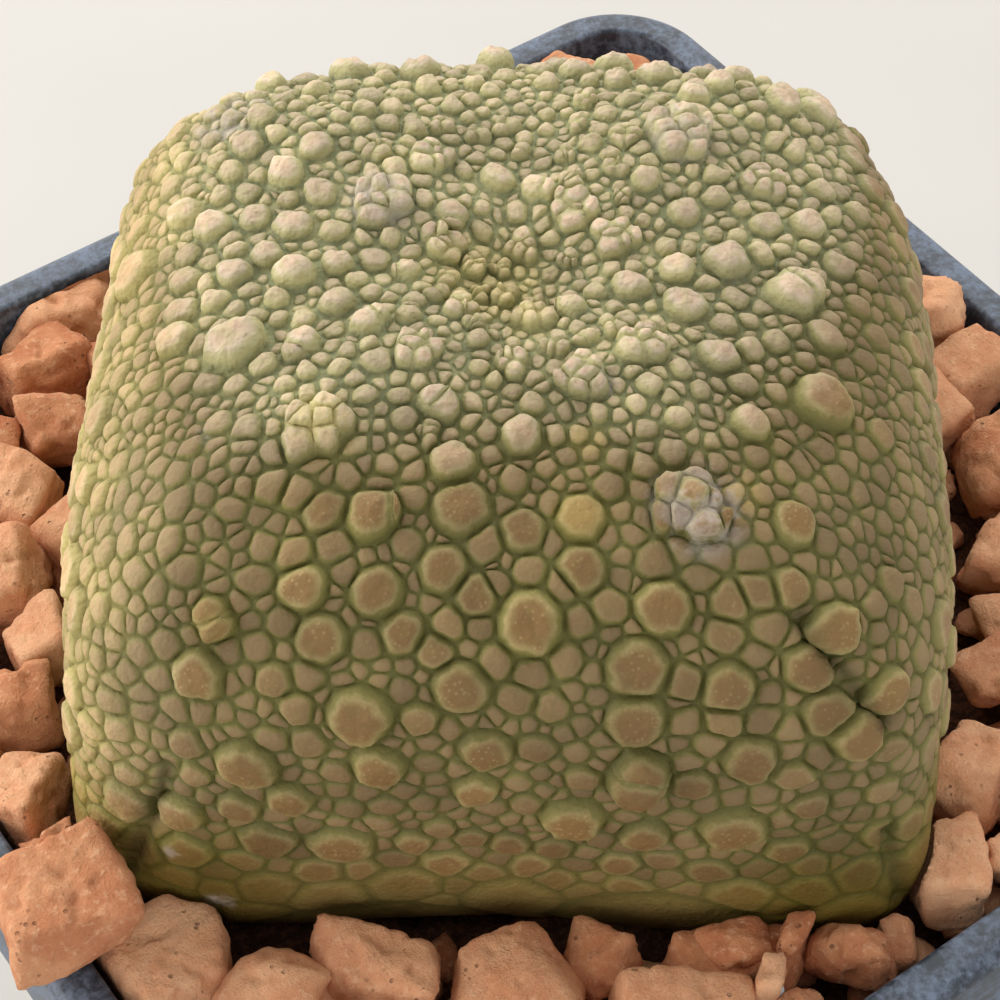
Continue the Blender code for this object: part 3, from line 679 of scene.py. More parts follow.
def relief_share(points):
    """Share of the full relief that warts have: less on the flanks, least along the hem."""
    hem = 1.0 - eased(points[:, 2], *HEM_SPAN)
    flank = eased(np.abs(points[:, 0]), *FLANK_SPAN)
    return (1.0 - HEM_LOSS * hem) * (1.0 - FLANK_LOSS * flank)


def wart_heights(cells, middles):
    """The cells' heights over the skin, and how far their common foot is lifted inside a lobed wart."""
    crown = crown_share(middles)
    size = cells.wart_radii / MM
    # Small warts lie low between the larger ones
    plain = LOW_WART + (HIGH_WART - LOW_WART) * eased(size, *WART_SIZES)
    plain += crown * (BALL_HEIGHT * size * eased(size, *BALL_SIZES) - plain)
    plain *= PLAIN_SPREAD[0] + PLAIN_SPREAD[1] * cells.tones
    lobed = (LOBED_HEIGHT[0] + LOBED_HEIGHT[1] * size) * (LOBED_SPREAD[0] + LOBED_SPREAD[1] * cells.tones)
    lobed *= 1.0 - LOBE_FALL * cells.outs**2
    height = np.where(cells.lobed > 0, lobed, plain) * MM * relief_share(middles)
    return height, LOBE_FOOT * height * cells.lobed


def crown_share(points):
    """1 where the skin has the crown's ball-like warts, 0 on the faces."""
    return eased(points[:, 2] + CROWN_TILT * points[:, 1], *CROWN_SPAN)


def noise_at(points, size, seed):
    """Smooth noise from -1 to 1 with features of a size, at each of the points."""
    shift = Vector([seed * stride for stride in NOISE_STRIDE])
    return np.array([noise.noise(Vector(p) / size + shift) for p in points])


def build_cells(cells, creases):
    """Vertices and faces of all the cells, as a dictionary of arrays."""
    corners, rounds = outline_cells(cells)
    foot_directions, within, lines = divide_outlines(corners, rounds, cells)
    order = sorted(lines)
    counts = np.array([len(lines[c]) for c in order])
    feet = np.concatenate([lines[c] for c in order])
    cell_of = np.repeat(np.arange(len(order)), counts)
    first = np.cumsum(counts) - counts
    following = np.arange(len(feet)) + 1
    following[first + counts - 1] = first

    at = skin_points(foot_directions, creases)[feet]
    middles = np.zeros((len(order), 3))
    np.add.at(middles, cell_of, at)
    middles = skin_points(unit(middles / counts[:, None]), creases)

    cells = Subset(cells, order)
    heights, lifts = wart_heights(cells, middles)
    crown = crown_share(middles)
    knob = crown * (1.0 - cells.lobed)
    gap = GAP_HALF + CROWN_GAP * knob
    foot, outline = round_outline(at, middles[cell_of], gap[cell_of], cell_of, following)
    plate = eased(cells.wart_radii, *PLATE_RADII)
    back = BACK_DOMES * eased(middles[:, 1], *BACK_SPAN)
    dome = np.maximum.reduce([crown, 1.0 - plate, cells.lobed, back])[cell_of]
    knob = knob[cell_of]
    sunken = SUNKEN * (cells.warts == len(PICKED_WARTS))

    height, middle = heights[cell_of], middles[cell_of]
    foot_lift = within[feet] * lifts[cell_of]
    vertices = [lifted(foot_directions, creases, feet_lifts(feet, foot_lift, len(foot_directions)))]
    tops = [LOBE_FOOT * within]
    discs = [np.zeros(len(foot_directions))]
    for ring, ((flat_out, flat_high), (dome_out, dome_high)) in enumerate(zip(FLAT_RINGS, DOME_RINGS)):
        out = flat_out + (dome_out - flat_out) * dome
        high = flat_high + (dome_high - flat_high) * dome
        if ring == 0:
            out -= UNDERCUT * knob
        if ring == len(FLAT_RINGS) - 1:
            high -= 0.5 * sunken[cell_of]
        spot = middle + (foot + (outline - foot) * eased(flat_high, *BUMPY_SPAN)) * out[:, None]
        lift = foot_lift + (height - foot_lift) * high
        tops.append(lift / height)
        swell = 1.0
        for more, (share, size, seed) in zip((CROWN_NOISE * knob, 0.0), TOP_BUMPS):
            swell = swell + share * (1.0 + more) * noise_at(spot, size, seed)
        lift *= swell
        vertices.append(lifted(unit(spot), creases, lift))
        discs.append(1.0 - out)
    vertices.append(lifted(unit(middles), creases, heights * (PEAK - sunken)))
    tops.append(np.ones(len(order)))
    discs.append(np.ones(len(order)))
    return {
        "vertices": np.vstack(vertices),
        "top": np.concatenate(tops),
        "disc": np.clip(np.concatenate(discs), 0.0, 1.0),
        "feet": feet,
        "cell_of": cell_of,
        "following": following,
        "middles": middles,
        "cells": cells,
        "n_feet": len(foot_directions),
    }


def round_outline(at, middles, gap, cell_of, following):
    """The cells' outlines about their middles, rounded and apart from their neighbours: smooth, and bumpy."""
    counts = np.bincount(cell_of)
    previous = np.empty_like(following)
    previous[following] = np.arange(len(following))
    rounded = at
    for _ in range(SMOOTHING_ROUNDS):
        rounded = 0.5 * rounded + 0.25 * (rounded[following] + rounded[previous])
    reach = rounded - middles
    lengths, length = (np.linalg.norm(line, axis=1) for line in (at - middles, reach))
    # Rounding draws an outline in, and this makes up for it
    grown = (np.bincount(cell_of, lengths) / counts) / (np.bincount(cell_of, length) / counts)
    swing = 1.0
    for share, size, seed in OUTLINE_BUMPS:
        swing = swing - share * (0.5 + 0.5 * noise_at(at, size, seed))
    full = np.minimum(grown[cell_of] * length, lengths) - gap
    return [
        reach * (np.maximum(limit, LEAST_REACH * length) / length)[:, None]
        for limit in (full, full * swing)
    ]


class Subset:
    """The cells that have an outline, in the order of the mesh."""

    def __init__(self, cells, order):
        for key, values in vars(cells).items():
            setattr(self, key, values[order])


def feet_lifts(feet, foot_lift, count):
    """The lift of each outline point, the least of those that its cells ask for."""
    lifts = np.full(count, np.inf)
    np.minimum.at(lifts, feet, foot_lift)
    return np.where(np.isfinite(lifts), lifts, 0.0)


def lifted(d, creases, lift):
    return skin_points(d, creases) + skin_normals(d, creases) * lift[:, None]


def plant_faces(data):
    """Quads of the cells, ring by ring from their common foot up, and the triangles of their tops."""
    feet, following, cell_of = data["feet"], data["following"], data["cell_of"]
    count, n_feet = len(feet), data["n_feet"]
    rings = [feet] + [n_feet + k * count + np.arange(count) for k in range(len(FLAT_RINGS))]
    quads = [
        np.stack([low, low[following], high[following], high], axis=1)
        for low, high in zip(rings, rings[1:])
    ]
    middle = n_feet + len(FLAT_RINGS) * count + cell_of
    tops = np.stack([rings[-1], rings[-1][following], middle], axis=1)
    return quads, tops


def linked(name, data):
    """A new object in the scene."""
    obj = bpy.data.objects.new(name, data)
    bpy.context.scene.collection.objects.link(obj)
    return obj


def mesh_object(name, vertices, faces, attributes):
    """A smooth-shaded mesh object, with a float attribute of its vertices for each of the attributes."""
    mesh = bpy.data.meshes.new(name)
    mesh.from_pydata(np.asarray(vertices).tolist(), [], faces)
    mesh.shade_smooth()
    for key, values in attributes.items():
        layer = mesh.attributes.new(key, "FLOAT", "POINT")
        layer.data.foreach_set("value", np.asarray(values, np.float32))
    return linked(name, mesh)


def lofted(name, rings):
    """A closed mesh object through rings with the same number of points, anticlockwise from its foot up."""
    count = len(rings[0])
    here = np.arange(count)
    following = np.roll(here, -1)
    quads = np.stack([here, following, following + count, here + count], axis=1)
    faces = [quad for ring in range(len(rings) - 1) for quad in (quads + ring * count).tolist()]
    faces += [here[::-1].tolist(), (here + (len(rings) - 1) * count).tolist()]
    return mesh_object(name, np.vstack(rings), faces, {})


def add_piece(obj, node, material):
    obj.data.materials.clear()
    obj.data.materials.append(material)
    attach(obj, "root")
    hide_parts(node)


def mark_grooves(mesh, is_foot):
    """Marks the edges along the grooves as sharp, so that a groove stays a crisp line."""
    ends = np.empty(2 * len(mesh.edges), np.int32)
    mesh.edges.foreach_get("vertices", ends)
    layer = mesh.attributes.new("sharp_edge", "BOOLEAN", "EDGE")
    layer.data.foreach_set("value", is_foot[ends.reshape(-1, 2)].all(axis=1))


def skin_attributes(data, creases):
    points, cells = data["vertices"], data["cells"]

    def of_vertices(values):
        """Spreads a value of each cell over its vertices."""
        each = values[data["cell_of"]]
        total, times = np.zeros(data["n_feet"]), np.zeros(data["n_feet"])
        np.add.at(total, data["feet"], each)
        np.add.at(times, data["feet"], 1.0)
        return np.concatenate([total / np.maximum(times, 1.0), np.tile(each, len(FLAT_RINGS)), values])

    def round_picked(rows):
        """1 round the middles of the picked places, 0 away from them."""
        share = np.zeros(len(points))
        for place, (_, _, width) in zip(picked_points(rows), rows):
            apart = np.linalg.norm(points - place, axis=1) / (0.5 * width * MM)
            share = np.maximum(share, 1.0 - eased(apart, *PATCH_EDGE))
        return share

    return {
        "top": data["top"],
        "disc": data["disc"],
        "tone": of_vertices(cells.tones),
        "size": of_vertices(np.interp(cells.wart_radii, SIZE_SPAN, (0.0, 1.0))),
        "crust": round_picked(PICKED_CRUSTS),
        "golden": round_picked(PICKED_GOLDEN),
        # How deep the creases lie, for the painted shade in them
        "crease": crease_depths(points, creases) / CREASE_DEPTH,
    }


def make_skin(material):
    rng = np.random.default_rng(PLANT_SEED)
    creases = [picked_points(crease) for crease in PICKED_CREASES]
    warts = picked_warts()
    fill_warts(warts, rng)
    data = build_cells(Cells(warts, rng), creases)
    points, attributes = data["vertices"], skin_attributes(data, creases)
    quads, tops = plant_faces(data)
    polar = np.arccos(unit(data["middles"])[:, 2])[data["cell_of"]]
    for name, (low, high) in SKIN_BANDS.items():
        chosen = (polar >= low) & (polar < high)
        used = np.unique(np.concatenate([q[chosen].ravel() for q in quads] + [tops[chosen].ravel()]))
        number = np.zeros(len(points), int)
        number[used] = np.arange(len(used))
        faces = [face for ring in quads for face in number[ring[chosen]].tolist()]
        faces += number[tops[chosen]].tolist()
        obj = mesh_object(name, points[used], faces, {k: v[used] for k, v in attributes.items()})
        mark_grooves(obj.data, used < data["n_feet"])
        obj.location = PLANT_CENTRE
        obj.rotation_euler.z = PLANT_TURN
        add_piece(obj, "pseudolithos", material)


def make_root(material):
    """A tapered root with a knobbly bark, closed at its top inside the body."""
    around = 2 * math.pi * np.arange(ROOT_SIDES) / ROOT_SIDES
    width, height, seed = ROOT_KNOBS
    rings = []
    for level in np.linspace(1.0, 0.0, ROOT_RINGS):
        radius = ROOT_TOP_RADIUS + (ROOT_TIP_RADIUS - ROOT_TOP_RADIUS) * level
        depth = ROOT_SUNK - (ROOT_LENGTH + ROOT_SUNK) * level
        ring = np.stack([radius * np.cos(around), radius * np.sin(around), 0.0 * around + depth], axis=1)
        ring[:, :2] *= 1.0 - height * (1.0 - noise_at(ring, width, seed))[:, None]
        rings.append(ring)
    obj = lofted("root", rings)
    obj.location = (PLANT_CENTRE.x, PLANT_CENTRE.y, PLANT_CENTRE.z - BASE)
    add_piece(obj, "pseudolithos", material)


def wall_side(level, inset):
    """Outer side of the pot's wall at a level, less an inset on each side."""
    top_side = POT_SIDE - 2 * COLLAR_STEP
    return FOOT_SIDE + (top_side - FOOT_SIDE) * level / POT_HEIGHT - 2 * inset


def corner_radius(inset):
    return CORNER_RADIUS - COLLAR_STEP - inset


def square_ring(side, corner, level):
    """Points round a square with round corners, anticlockwise seen from above."""
    points = []
    for quarter in range(4):
        for step in range(CORNER_SEGMENTS + 1):
            angle = 0.5 * math.pi * (quarter + step / CORNER_SEGMENTS)
            middle = 0.5 * side - corner
            turn = 0.5 * math.pi * quarter + 0.25 * math.pi
            x = math.copysign(middle, math.cos(turn)) + corner * math.cos(angle)
            y = math.copysign(middle, math.sin(turn)) + corner * math.sin(angle)
            points.append((x, y, level))
    return points


def pot_rings():
    """The pot's profile as rings, from the foot up the outside, over the rim and down the inside."""
    rings = []

    def arc(side, level, radius, start, end, corner):
        """Rings round an edge whose circle's middle is radius inside the side, at the level."""
        for step in range(ROUNDING_SEGMENTS + 1):
            angle = start + (end - start) * step / ROUNDING_SEGMENTS
            inset = radius * (1 - math.cos(angle))
            rings.append(
                square_ring(side(level) - 2 * inset, corner - inset, level + radius * math.sin(angle))
            )

    def wall(level):
        return wall_side(level, 0.0)

    def collar(level):
        share = (level - collar_foot) / COLLAR_HEIGHT
        return POT_SIDE - 2 * COLLAR_DRAFT * (1 - share)

    def lining(level):
        return wall_side(level, WALL)

    collar_foot = POT_HEIGHT - COLLAR_HEIGHT
    quarter = 0.5 * math.pi
    arc(wall, FOOT_ROUNDING, FOOT_ROUNDING, -quarter, 0.0, corner_radius(0.0))
    for level in np.linspace(FOOT_ROUNDING, collar_foot, WALL_BANDS)[1:]:
        rings.append(square_ring(wall(level), corner_radius(0.0), level))
    arc(collar, collar_foot + LIP_ROUNDING, LIP_ROUNDING, -quarter, 0.0, CORNER_RADIUS)
    arc(collar, POT_HEIGHT - RIM_ROUNDING, RIM_ROUNDING, 0.0, quarter, CORNER_RADIUS)
    for step in range(ROUNDING_SEGMENTS + 1):
        angle = quarter * step / ROUNDING_SEGMENTS
        out = LIP_ROUNDING * (1 - math.sin(angle))
        level = POT_HEIGHT - LIP_ROUNDING * (1 - math.cos(angle))
        rings.append(square_ring(lining(POT_HEIGHT) + 2 * out, corner_radius(WALL) + out, level))
    for level in np.linspace(POT_HEIGHT - LIP_ROUNDING, FLOOR, WALL_BANDS)[1:]:
        rings.append(square_ring(lining(level), corner_radius(WALL), level))
    return rings


def make_pot(material):
    pot = lofted("pot_body", pot_rings())
    drains = bmesh.new()
    for x in (-DRAIN_OFFSET, DRAIN_OFFSET):
        for y in (-DRAIN_OFFSET, DRAIN_OFFSET):
            bmesh.ops.create_cone(
                drains,
                cap_ends=True,
                segments=HOLE_SEGMENTS,
                radius1=0.5 * DRAIN_DIAMETER,
                radius2=0.5 * DRAIN_DIAMETER,
                depth=DRAIN_CUT,
                matrix=Matrix.Translation((x, y, 0.5 * FLOOR)),
            )
    cutter = linked("drains", bpy.data.meshes.new("drains"))
    drains.to_mesh(cutter.data)
    drains.free()
    modifier = pot.modifiers.new("drains", "BOOLEAN")
    modifier.operation = "DIFFERENCE"
    modifier.solver = "EXACT"
    modifier.object = cutter
    graph = bpy.context.evaluated_depsgraph_get()
    mesh = bpy.data.meshes.new_from_object(pot.evaluated_get(graph))
    pot.modifiers.clear()
    pot.data = mesh
    bpy.data.objects.remove(cutter, do_unlink=True)
    mesh.shade_smooth()
    mesh.set_sharp_from_angle(angle=SMOOTH_ANGLE)
    add_piece(pot, "pot", material)


class Stone:
    """A stone's place in the pot's frame, its sizes and its turn."""

    def __init__(self, spot, sizes, turn, fixed):
        self.spot = spot
        self.sizes = sizes
        self.turn = turn
        self.fixed = fixed
        self.radius = 0.25 * (sizes[0] + sizes[1])


def placed_stones():
    to_pot = Matrix.Rotation(PLANT_TURN, 2)
    stones = []
    for right, back, length, width, height, turn in PLACED_STONES:
        spot = to_pot @ Vector((right, back)) * MM + PLANT_OFFSET
        sizes = (length * MM, width * MM, height * MM)
        stones.append(Stone(spot, sizes, math.radians(turn) + PLANT_TURN, True))
    return stones


def plant_reach(direction, level):
    """How far the plant reaches from its axis at a level over its centre, towards a direction in plan."""
    polar = math.pi * np.arange(1, REACH_STEPS) / REACH_STEPS
    ring = np.sin(polar)
    d = np.stack([direction.x * ring, direction.y * ring, np.cos(polar)], axis=1)
    points = d * smooth_radii(d)[:, None]
    near = np.abs(points[:, 2] - level) < REACH_BAND
    return np.hypot(points[:, 0], points[:, 1])[near].max(initial=0.0)


def keep_in_room(stone):
    """Moves a stone between the plant and the pot's wall. False if it doesn't fit there."""
    inside = 0.5 * wall_side(BED_TOP, WALL)
    elbow = ELBOW_ROOM * stone.radius
    spot = Vector([max(elbow - inside, min(inside - elbow, c)) for c in stone.spot])
    round_from = inside - CORNER_RADIUS
    corner = Vector([abs(c) - round_from for c in spot])
    reach = CORNER_RADIUS - elbow
    if min(corner) > 0 and corner.length > reach:
        corner *= reach / corner.length
        spot = Vector([math.copysign(round_from + c, s) for c, s in zip(corner, spot)])
    from_plant = Matrix.Rotation(-PLANT_TURN, 2) @ (spot - PLANT_OFFSET)
    level = BED_TOP + REACH_LEVEL * stone.sizes[2] - PLANT_CENTRE.z
    keep_out = plant_reach(from_plant.normalized(), level) + elbow
    stone.spot = spot
    return from_plant.length > keep_out


def settle(stones):
    """Neighbours that lie too close push each other apart, and the placed ones stay."""
    for _ in range(SETTLING_ROUNDS):
        for i, one in enumerate(stones):
            for other in stones[:i]:
                apart = one.spot - other.spot
                wanted = SETTLED_SPACING * (one.radius + other.radius)
                if apart.length >= wanted or (one.fixed and other.fixed):
                    continue
                push = apart.normalized() * 0.5 * (wanted - apart.length)
                if not one.fixed:
                    one.spot += push
                if not other.fixed:
                    other.spot -= push
        stones = [s for s in stones if s.fixed or keep_in_room(s)]
    return stones


def too_close(one, stones, spacing):
    """Whether a stone is nearer to another than a share of their radii."""
    return any((one.spot - s.spot).length < spacing * (one.radius + s.radius) for s in stones)


def lay_stones(rng):
    """The placed stones and those that fill in between them, as in the solid."""
    stones = placed_stones()
    inside = 0.5 * wall_side(BED_TOP, WALL)
    for length in FILL_SIZES:
        for _ in range(FILL_TRIES):
            size = length * rng.uniform(1 - FILL_SPREAD, 1 + FILL_SPREAD)
            sizes = (size, size * rng.uniform(*FILL_WIDTH), size * rng.uniform(*FILL_HEIGHT))
            spot = Vector((rng.uniform(-inside, inside), rng.uniform(-inside, inside)))
            dropped = Stone(spot, sizes, rng.uniform(0.0, 2 * math.pi), False)
            if not too_close(dropped, stones, FILL_SPACING) and keep_in_room(dropped):
                stones.append(dropped)
    return settle(stones)


def crushed_stone(rng, sizes, steps, seed):
    """Vertices of a crushed stone about its middle, and the quads between them."""
    return stone_shape(stone_planes(rng, sizes), steps, seed)


def stone_planes(rng, sizes):
    """Unit normals of a crushed stone's flat sides and their distances from its middle."""
    bm = bmesh.new()
    for x in (-0.5, 0.5):
        for y in (-0.5, 0.5):
            for z in (-0.5, 0.5):
                skew = Vector([rng.uniform(-STONE_SKEW, STONE_SKEW) for _ in range(3)])
                bm.verts.new(Vector((x, y, z)) * rng.uniform(*STONE_CORNERS) + skew)
    for axis in range(3):
        bulge = Vector([rng.uniform(-STONE_BULGE, STONE_BULGE) for _ in range(3)])
        bulge[axis] = rng.choice((-0.5, 0.5))
        bm.verts.new(bulge)
    for vert in bm.verts:
        vert.co = Vector([c * size for c, size in zip(vert.co, sizes)])
    wrap_in_hull(bm)
    bm.normal_update()
    normals = np.array([face.normal for face in bm.faces])
    levels = np.array([face.normal.dot(face.verts[0].co) for face in bm.faces])
    bm.free()
    return normals, levels


GRIDS = {}


def cube_grid(steps):
    """Unit directions over a cube whose sides are divided in steps, and the quads between them."""
    if steps not in GRIDS:
        line = np.tan(np.linspace(-0.25, 0.25, steps + 1) * math.pi)
        a, b = (g.ravel() for g in np.meshgrid(line, line, indexing="ij"))
        one = np.ones_like(a)
        sides = [(one, a, b), (b, one, a), (a, b, one), (-one, b, a), (a, -one, b), (b, a, -one)]
        points = np.concatenate([np.stack(side, axis=1) for side in sides])
        i, j = (g.ravel() for g in np.meshgrid(np.arange(steps), np.arange(steps), indexing="ij"))
        corner = i * (steps + 1) + j
        quad = np.stack([corner, corner + steps + 1, corner + steps + 2, corner + 1], axis=1)
        quads = np.concatenate([quad + side * (steps + 1) ** 2 for side in range(6)])
        _, first, number = np.unique(points.round(6), axis=0, return_index=True, return_inverse=True)
        GRIDS[steps] = unit(points[first]), number.ravel()[quads]
    return GRIDS[steps]


def stone_shape(planes, steps, seed):
    """Vertices of a stone about its middle: its flat sides with worn edges, dents and grain."""
    normals, levels = planes
    d, quads = cube_grid(steps)
    facing = np.maximum(d @ normals.T, 0.0) / np.maximum(levels, THINNEST)
    radius = (facing**EDGE_SHARPNESS).sum(axis=1) ** (-1.0 / EDGE_SHARPNESS)
    points = d * radius[:, None]
    dents = sum(noise_at(points, width, seed + shift) * depth for width, depth, shift in STONE_DENTS)
    width, depth, shift = STONE_CHIPS
    chips = np.maximum(noise_at(points, width, seed + shift) - LEAST_CHIP, 0.0) * depth
    return points + d * (dents - chips)[:, None], quads


def about_plant(points):
    """Where points in the pot's frame lie about the plant: directions, distances and their least values."""
    local = turned(points - np.array(PLANT_CENTRE), -PLANT_TURN)
    reach = np.linalg.norm(local, axis=1)
    d = local / reach[:, None]
    return d, reach, smooth_radii(d) + PLANT_CLEARANCE * relief_share(local) + GAP


def keep_clear(points):
    """Keeps points in the pot's frame out of the plant and inside the pot's wall."""
    d, reach, least = about_plant(points)
    points = turned(d * np.maximum(reach, least)[:, None], PLANT_TURN) + np.array(PLANT_CENTRE)
    inside = 0.5 * np.array([wall_side(z, WALL + GAP) for z in points[:, 2]])
    corner = corner_radius(WALL + GAP)
    flat = points[:, :2].copy()
    beyond = np.abs(flat) - (inside - corner)[:, None]
    outer = np.maximum(beyond, 0.0)
    length = np.linalg.norm(outer, axis=1)
    shrink = np.minimum(1.0, corner / np.maximum(length, TINY))
    outer *= shrink[:, None]
    held = np.minimum(np.abs(flat), (inside - corner)[:, None]) + outer
    points[:, :2] = np.copysign(held, flat)
    return points


class Heap:
    """Stones that are gathered into one mesh."""

    def __init__(self):
        self.vertices, self.faces, self.tones, self.pales = [], [], [], []
        self.count = 0

    def add(self, points, quads, tone, pale=0.0):
        self.vertices.append(points)
        self.faces.append(quads + self.count)
        self.tones.append(np.full(len(points), tone))
        self.pales.append(np.full(len(points), pale))
        self.count += len(points)

    def make(self, name, material):
        attributes = {"tone": np.concatenate(self.tones), "pale": np.concatenate(self.pales)}
        faces = np.concatenate(self.faces).tolist()
        obj = mesh_object(name, np.vstack(self.vertices), faces, attributes)
        add_piece(obj, "gravel", material)


def stone_steps(sizes):
    return max(MIN_STEPS, round(STEPS_PER_MM * sizes[0] / MM))


def make_gravel(material):
    rng = random.Random(GRAVEL_SEED)
    tones = random.Random(GRAVEL_SEED + 1)
    near, far = Heap(), Heap()
    for index, stone in enumerate(lay_stones(rng)):
        points, quads = crushed_stone(rng, stone.sizes, stone_steps(stone.sizes), index)
        level = BED_TOP + (0.5 - STONE_SUNK) * stone.sizes[2] + rng.uniform(-1, 1) * STONE_SHIFT
        tilt = [rng.uniform(-STONE_TILT, STONE_TILT) for _ in range(2)]
        turn = Matrix.Rotation(stone.turn, 3, "Z") @ Matrix.Rotation(tilt[1], 3, "Y")
        turn = turn @ Matrix.Rotation(tilt[0], 3, "X")
        if index < len(FRONT_SHIFTS):
            stone.spot += Matrix.Rotation(PLANT_TURN, 2) @ Vector((0.0, FRONT_SHIFTS[index] * MM))
        points = points @ np.array(turn).T + (*stone.spot, level)
        in_front = (Matrix.Rotation(-PLANT_TURN, 2) @ (stone.spot - PLANT_OFFSET)).y < 0
        tone = tones.random()
        if index < len(FRONT_TONES):
            tone = FRONT_TONES[index]
        if index not in BURIED_STONES:
            (near if in_front else far).add(keep_clear(points), quads, tone)
    for right, down, over, length, width, height, turn, tone in PICKED_STONES:
        spot = seen_on_level((right, down), POT_HEIGHT + over * MM)
        sizes = (length * MM, width * MM, height * MM)
        points, quads = crushed_stone(rng, sizes, stone_steps(sizes), right)
        points = turned(points, VIEW_TURN + math.radians(turn)) + spot
        near.add(points if over > 0 else keep_clear(points), quads, tone)
    points, quads = crushed_stone(rng, CHIP_SIZES, MIN_STEPS, PALE_CHIP[0])
    near.add(keep_clear(points + seen_on_level(PALE_CHIP, CHIP_LEVEL)), quads, tone=0.5, pale=1.0)
    near.make("gravel_front", material)
    far.make("gravel_back", material)
    make_grit(material)


def make_grit(material):
    """Small stones between and under the others."""
    rng = random.Random(GRIT_SEED)
    heap = Heap()
    inside = 0.5 * wall_side(BED_TOP, WALL)
    grains = []
    for _ in range(GRIT_TRIES):
        size = rng.uniform(*GRIT_SIZES)
        spot = Vector((rng.uniform(-inside, inside), rng.uniform(-inside, inside)))
        sizes = (size, *(part * size for part in GRIT_FORM))
        grain = Stone(spot, sizes, rng.uniform(0.0, 2 * math.pi), False)
        if not too_close(grain, grains, GRIT_SPACING) and keep_in_room(grain):
            grains.append(grain)
    for index, grain in enumerate(grains):
        points, quads = crushed_stone(rng, grain.sizes, GRIT_STEPS, GRIT_SHAPES + index)
        level = BED_TOP + rng.uniform(*GRIT_LEVELS)
        points = points @ np.array(Matrix.Rotation(grain.turn, 3, "Z")).T + (*grain.spot, level)
        heap.add(keep_clear(points), quads, rng.random())
    heap.make("gravel_grit", material)


def make_bed(material):
    """The gravel under the stones in sight, with a lumpy top, coloured almost black as painted shade."""
    foot = PLANT_CENTRE.z - BASE - SOIL_CLEARANCE + GAP
    top = BED_TOP - BED_SUNK
    inset = WALL + GAP
    rings = [square_ring(wall_side(foot, inset), corner_radius(inset), foot)]
    rings.append(square_ring(wall_side(top, inset), corner_radius(inset), top))
    for share in np.linspace(1.0, BED_MIDDLE, BED_RINGS)[1:]:
        side = wall_side(top, inset) * share
        rings.append(square_ring(side, min(corner_radius(inset), BED_ROUNDNESS * side), top))
    bed = lofted("gravel_bed", rings)
    mesh = bed.data
    points = np.empty(3 * len(mesh.vertices))
    mesh.vertices.foreach_get("co", points)
    points = points.reshape(-1, 3)
    upper = points[:, 2] > top - SAME_LEVEL
    lumps = sum(height * noise_at(points, width, seed) for width, height, seed in BED_LUMPS)
    points[:, 2] += np.where(upper, lumps, 0.0)
    # Where the plant stands, the bed dips under it
    for _ in range(BED_DIPS):
        _, reach, least = about_plant(points)
        points[upper & (reach < least) & (points[:, 2] > foot + LEAST_BED), 2] -= BED_DIP
    mesh.vertices.foreach_set("co", points.ravel())
    mesh.shade_smooth()
    mesh.set_sharp_from_angle(angle=SMOOTH_ANGLE)
    add_piece(bed, "gravel", material)


